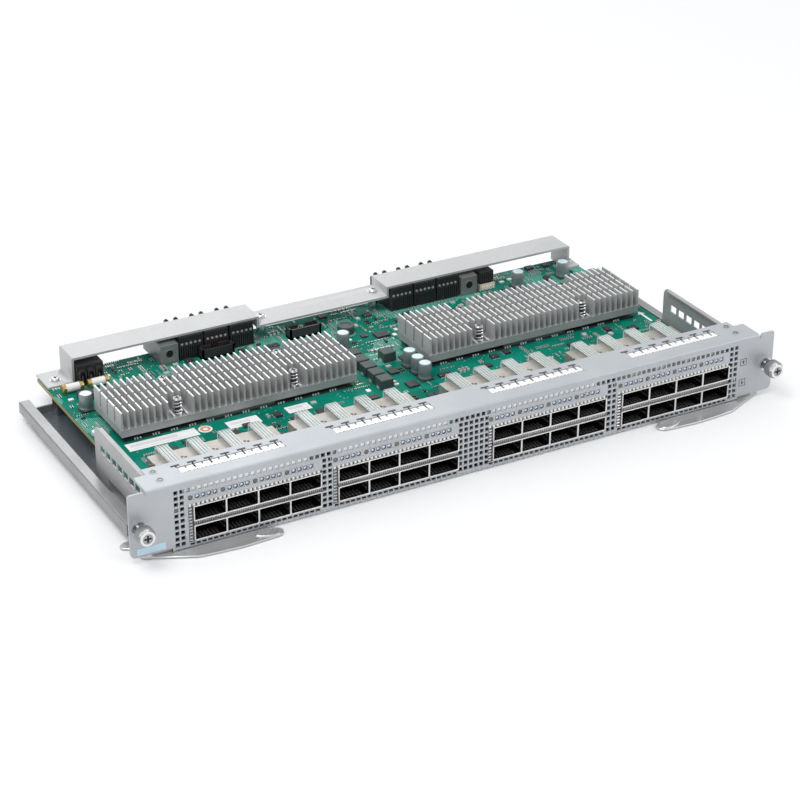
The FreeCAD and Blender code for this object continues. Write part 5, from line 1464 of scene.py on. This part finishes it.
piece("ear_plate", brick((-204.6, -188.2), (-0.15, 0.02), (4.7, 8.7)), [pale_blue],
      bevel=0.05)


def icon(x, z, up):
    """A small square outline with an arrow in it, printed on the face."""
    frame_lines = [brick((x - 2.3, x + 2.3), (-0.03, 0.01), (z + e, z + e + 0.36)) for e in (-2.3, 1.94)]
    frame_lines += [brick((x + e, x + e + 0.36), (-0.03, 0.01), (z - 2.3, z + 2.3)) for e in (-2.3, 1.94)]
    points, faces, number = flat([(-1.1, 0), (0, 1.3 * up), (1.1, 0), (0.4, 0), (0.4, -1.2 * up),
                                  (-0.4, -1.2 * up), (-0.4, 0)], -0.01, 0.03)
    return join(*frame_lines, (points[:, (0, 2, 1)] * [1, -1, 1] + [x, 0, z], faces, number))


piece("face_icons", join(icon(186.8, 25.8, 1), icon(186.8, 12.3, -1)), [ink_and_recess_shade])
ARROW_X, ARROW_TAIL, ARROW_TIP = 182.6, 89.3, 105.0
arrow = flat([(ARROW_X, ARROW_TIP), (ARROW_X - 2.4, ARROW_TIP - 4.2), (ARROW_X - 0.8, ARROW_TIP - 4.2),
              (ARROW_X - 0.8, ARROW_TAIL),
              (ARROW_X + 0.8, ARROW_TAIL), (ARROW_X + 0.8, ARROW_TIP - 4.2),
              (ARROW_X + 2.4, ARROW_TIP - 4.2)], TOP, TOP + 0.04)
piece("board_arrow", arrow, [silk])
dots = np.concatenate([span(side + "_heat_sink")[0][0] + 8 + 11.3 * np.arange(12)[:, None] + [0, 1.6, 3.4]
                       for side in ("left", "right")]).ravel()
seat_front = span("sink_seats")[0][1]
piece("seat_dots", row_of(dots, 0.8, (seat_front - 0.25, seat_front + 0.6), (TOP + 0.2, TOP + 1.15)),
      [paper])
strip_s = np.array([0.1, 0.6, 1.1, 1.6])
outer, inner = (np.stack(fold(strip_s, deep), -1) for deep in (0.3, 0.55))
section = np.concatenate([outer, inner[::-1]])
ends = np.array([-183.0, 183.0])
near_end = [[7, 6, 1, 0], [6, 5, 2, 1], [5, 4, 3, 2]]
far_end = [[8, 9, 14, 15], [9, 10, 13, 14], [10, 11, 12, 13]]
hem = shape(np.stack([np.c_[np.full(8, x), section] for x in ends]),
            np.concatenate([net(2, 8, close_v=True), near_end, far_end]))
piece("front_hem", hem, [zinc])
cage_marks = np.array([(low + COLUMN * k + dx, y) for low in group_low for k in range(4) for dx,
                       y in ((-1.9, 52.4), (-0.2, 51.4))])
piece("cage_rivets", at(turned([(0, TOP + 9.4), (0.85, TOP + 9.4), (0.8, TOP + 9.62), (0, TOP + 9.66)], 10),
                        *np.c_[cage_marks, np.zeros(len(cage_marks))]),
      [mark_brown])

# %% [markdown]
# ## Small parts on the board
# Hundreds of chips, resistors and capacitors fill the free ground.  A grid over the
# board notes which half-millimetres are taken by the solids.  Rows of equal parts are
# then laid at places drawn from a seeded generator, and only where the ground is free.

# %% Free ground
STEP = 0.5
nx, ny = (int(v) for v in np.ceil((BOARD_HIGH[:2] - BOARD_LOW[:2]) / STEP))
taken = np.zeros((nx, ny), bool)


def block_off(x0, y0, x1, y1, around=0.6):
    """Mark a rectangle of the ground as taken."""
    i0, j0 = (int(max(0, math.floor((v - around - o) / STEP)))
              for v, o in ((x0, BOARD_LOW[0]), (y0, BOARD_LOW[1])))
    i1, j1 = (int(max(0, math.ceil((v + around - o) / STEP)))
              for v, o in ((x1, BOARD_LOW[0]), (y1, BOARD_LOW[1])))
    taken[i0:i1, j0:j1] = True


def is_free(x0, y0, x1, y1):
    """Whether a rectangle of the ground is on the board and free."""
    if x0 < BOARD_LOW[0] + 1 or y0 < BOARD_LOW[1] + 1 or x1 > BOARD_HIGH[0] - 1 or y1 > BOARD_HIGH[1] - 1:
        return False
    i0, j0 = int((x0 - BOARD_LOW[0]) / STEP), int((y0 - BOARD_LOW[1]) / STEP)
    i1, j1 = int((x1 - BOARD_LOW[0]) / STEP) + 1, int((y1 - BOARD_LOW[1]) / STEP) + 1
    return not taken[i0:i1, j0:j1].any()


for name, thing in {**frame["nodes"], **PIECES}.items():
    below = name.startswith(("lower_", "left_guide_rail", "right_guide_rail"))
    if below or name in ("main_board", "tray_floor"):
        continue
    mesh = thing.data
    loops = np.empty(len(mesh.loops), np.int32)
    mesh.loops.foreach_get("vertex_index", loops)
    where = np.empty(len(mesh.vertices) * 3)
    mesh.vertices.foreach_get("co", where)
    where = where.reshape(-1, 3)[loops] / MM
    start = np.empty(len(mesh.polygons), np.int32)
    mesh.polygons.foreach_get("loop_start", start)
    least, most = np.minimum.reduceat(where, start), np.maximum.reduceat(where, start)
    low_enough = (least[:, 2] < TOP + 6) & (most[:, 2] > TOP - 0.5) & (least[:, 1] > 60)
    for lo, hi in zip(least[low_enough], most[low_enough]):
        block_off(lo[0], lo[1], hi[0], hi[1])
block_off(-184, 4, 188, 62)
print("free ground", round(float((~taken).mean()), 3))


# %% [markdown]
# ### Rows of small parts
# Real boards carry equal parts in short rows, so a draw picks a kind, a direction, a
# count and a gap, and lays the whole row or nothing.  Fewer rows go in front of the
# sinks.  The seed is fixed, so each run gives the same board.

# %% Rows of small parts
def two_ended(wide, deep, tall, body_mark):
    """A chip resistor or capacitor: a body between two tinned ends."""
    end = wide * 0.24
    return join(brick((end, wide - end), (0, deep), (0, tall * 0.92), body_mark),
                brick((0, end), (0, deep), (0, tall), 1),
                brick((wide - end, wide), (0, deep), (0, tall), 1))


def gull_chip(wide, deep, tall, legs):
    """A black chip with rows of bent legs along its two long sides."""
    x = np.linspace(0.4, wide - 0.8, legs)
    return join(brick((0, wide), (0.8, deep - 0.8), (0.1, tall)), row_of(x, 0.4, (0, 0.9), (0, 0.45), 1),
                row_of(x, 0.4, (deep - 0.9, deep), (0, 0.45), 1),
                brick((0.5, 0.9), (1.2, 1.6), (tall - 0.05, tall + 0.03), 4))


def turned_quarter(form):
    """The same part turned by a right angle on the board."""
    points, faces, number = form
    return np.c_[-points[:, 1], points[:, 0], points[:, 2]] - [(-points[:, 1]).min(), 0, 0], faces, number


# square chip with a printed dot, crystal can, three-legged transistor, gold test pad
square_chip = join(brick((0, 4.0), (0, 4.0), (0.05, 0.9)), brick((0.4, 0.7), (0.4, 0.7), (0.85, 0.93), 4))
crystal = brick((0, 3.2), (0, 2.5), (0, 0.9), 1)
transistor = join(brick((0.4, 3.0), (0, 1.5), (0.1, 1.1)),
                  row_of(np.array([0.2, 1.5, 2.8]), 0.4, (-0.5, 0.1), (0, 0.3), 1),
                  brick((1.5, 1.9), (1.4, 2.0), (0, 0.3), 1))
test_pad = brick((0, 1.1), (0, 1.1), (0, 0.06), 3)
# each kind with the most that lie in one row
KINDS = [(two_ended(1.7, 0.9, 0.55, 0), 7), (two_ended(1.7, 0.9, 0.8, 2), 7),
         (two_ended(2.1, 1.3, 1.1, 2), 5), (two_ended(3.2, 1.7, 1.4, 2), 4),
         (gull_chip(5.0, 6.0, 1.5, 4), 1), (gull_chip(8.6, 6.0, 1.5, 8), 1),
         (square_chip, 2), (crystal, 1), (transistor, 3), (test_pad, 6)]
ODDS = np.array([30, 12, 6, 3, 5, 2, 6, 6, 6, 5.0])
TRIES, SINK_FRONT, FRONT_SHARE = 8000, 98, 0.22
small = []
for _ in range(TRIES):
    kind = chance.choice(len(KINDS), p=ODDS / ODDS.sum())
    form, most_in_row = KINDS[kind]
    if chance.random() < 0.5:
        form = turned_quarter(form)
    low, high = form[0].min(0), form[0].max(0)
    count = int(chance.integers(1, most_in_row + 1))
    gap = 0.45 + 0.5 * chance.random()
    across = chance.random() < 0.5
    step = np.array([high[0] - low[0] + gap, 0] if across else [0, high[1] - low[1] + gap])
    spot = np.array([chance.uniform(BOARD_LOW[0], BOARD_HIGH[0]), chance.uniform(62, 199)]).round(1)
    far = spot + step * (count - 1) + high[:2]
    crowded = spot[1] > SINK_FRONT or chance.random() < FRONT_SHARE
    if crowded and is_free(spot[0] + low[0], spot[1] + low[1], far[0], far[1]):
        small.append(at(form, *[(spot[0] + step[0] * k, spot[1] + step[1] * k, TOP) for k in range(count)]))
        block_off(spot[0] + low[0], spot[1] + low[1], far[0], far[1], 0.5 + 0.9 * chance.random())
piece("small_parts", join(*small), [chip_black, terminal, ceramic_tan, gold_pad, silk])
print("rows of small parts", len(small), "faces", len(PIECES["small_parts"].data.polygons))

# %% [markdown]
# ## Floor, light and camera
# A pale floor catches a faint shadow.  The sky is brighter overhead than at the
# horizon, so flat tops are light, upright faces are darker and metal has something
# to mirror.  Only what the camera sees directly is lifted to white, so metal still
# mirrors the graded sky.

# %% Floor
def camera_only(tree):
    """One for rays straight from the camera, nought for all others, also for mirrored ones."""
    return wire(tree, "ShaderNodeLightPath").outputs["Is Camera Ray"]


ground = bpy.data.meshes.new("floor")
ground.from_pydata([(-3, -3, -0.0002), (3, -3, -0.0002), (3, 3, -0.0002), (-3, 3, -0.0002)], [],
                   [(0, 1, 2, 3)])
floor = bpy.data.objects.new("floor", ground)
bpy.context.scene.collection.objects.link(floor)
pale = bpy.data.materials.new("floor")
pale.use_nodes = True
tree = pale.node_tree
surface = tree.nodes["Principled BSDF"]
surface.inputs["Base Color"].default_value = (0.80, 0.80, 0.80, 1)
surface.inputs["Roughness"].default_value = 0.9
surface.inputs["Emission Color"].default_value = (1, 1, 1, 1)
lift = wire(tree, "ShaderNodeMath", {"operation": "MULTIPLY", 1: 0.10})
tree.links.new(camera_only(tree), lift.inputs[0])
tree.links.new(lift.outputs[0], surface.inputs["Emission Strength"])
ground.materials.append(pale)


# %% [markdown]
# ### Lights, sky and camera
# Soft area lights from the left, the right and behind shape the edges.  The camera has
# a long lens and stands well back, which keeps the card's edges nearly parallel.

# %% Lights and sky
def soft_light(name, place, size, power):
    """An area light at a place, turned to the card."""
    data = bpy.data.lights.new(name, "AREA")
    data.shape = "RECTANGLE"
    data.size, data.size_y = size
    data.energy = power
    made = bpy.data.objects.new(name, data)
    made.location = place
    made.rotation_euler = (Vector((0, 0.1, 0)) - Vector(place)).to_track_quat("-Z", "Y").to_euler()
    bpy.context.scene.collection.objects.link(made)


soft_light("key", (-0.7, -0.2, 1.5), (1.0, 0.8), 12.0)
soft_light("fill", (1.3, -0.9, 0.8), (1.0, 0.6), 4.3)
soft_light("back", (0.2, 1.7, 1.0), (1.4, 0.6), 5.0)
world = bpy.data.worlds.new("studio")
bpy.context.scene.world = world
world.use_nodes = True
tree = world.node_tree
sky = tree.nodes["Background"]
sky.inputs["Color"].default_value = (0.97, 0.98, 1.0, 1)
place = wire(tree, "ShaderNodeTexCoord")
parts = wire(tree, "ShaderNodeSeparateXYZ", {}, Vector=place.outputs["Generated"])
level = wire(tree, "ShaderNodeMapRange", {"From Min": -0.1, "From Max": 0.9, "To Min": 0.36,
                                          "To Max": 0.92}, Value=parts.outputs["Z"])
tree.links.new(level.outputs["Result"], sky.inputs["Strength"])
white = wire(tree, "ShaderNodeBackground", {"Color": (1, 1, 1, 1), "Strength": 0.985})
seen = tree.nodes.new("ShaderNodeMixShader")
tree.links.new(camera_only(tree), seen.inputs[0])
tree.links.new(sky.outputs[0], seen.inputs[1])
tree.links.new(white.outputs[0], seen.inputs[2])
tree.links.new(seen.outputs[0], tree.nodes["World Output"].inputs["Surface"])
bpy.context.scene.view_settings.view_transform = "Standard"
camera_data = bpy.data.cameras.new("camera")
camera_data.lens = 104.87
camera = bpy.data.objects.new("camera", camera_data)
camera.location = (-0.5915, -0.9896, 0.6439)
gaze = (Vector((-0.01151, 0.06362, 0.0207)) - camera.location).to_track_quat("-Z", "Y")
camera.rotation_euler = gaze.to_euler()
camera.rotation_euler.rotate_axis("Z", math.radians(0.108))
bpy.context.scene.collection.objects.link(camera)
bpy.context.scene.camera = camera
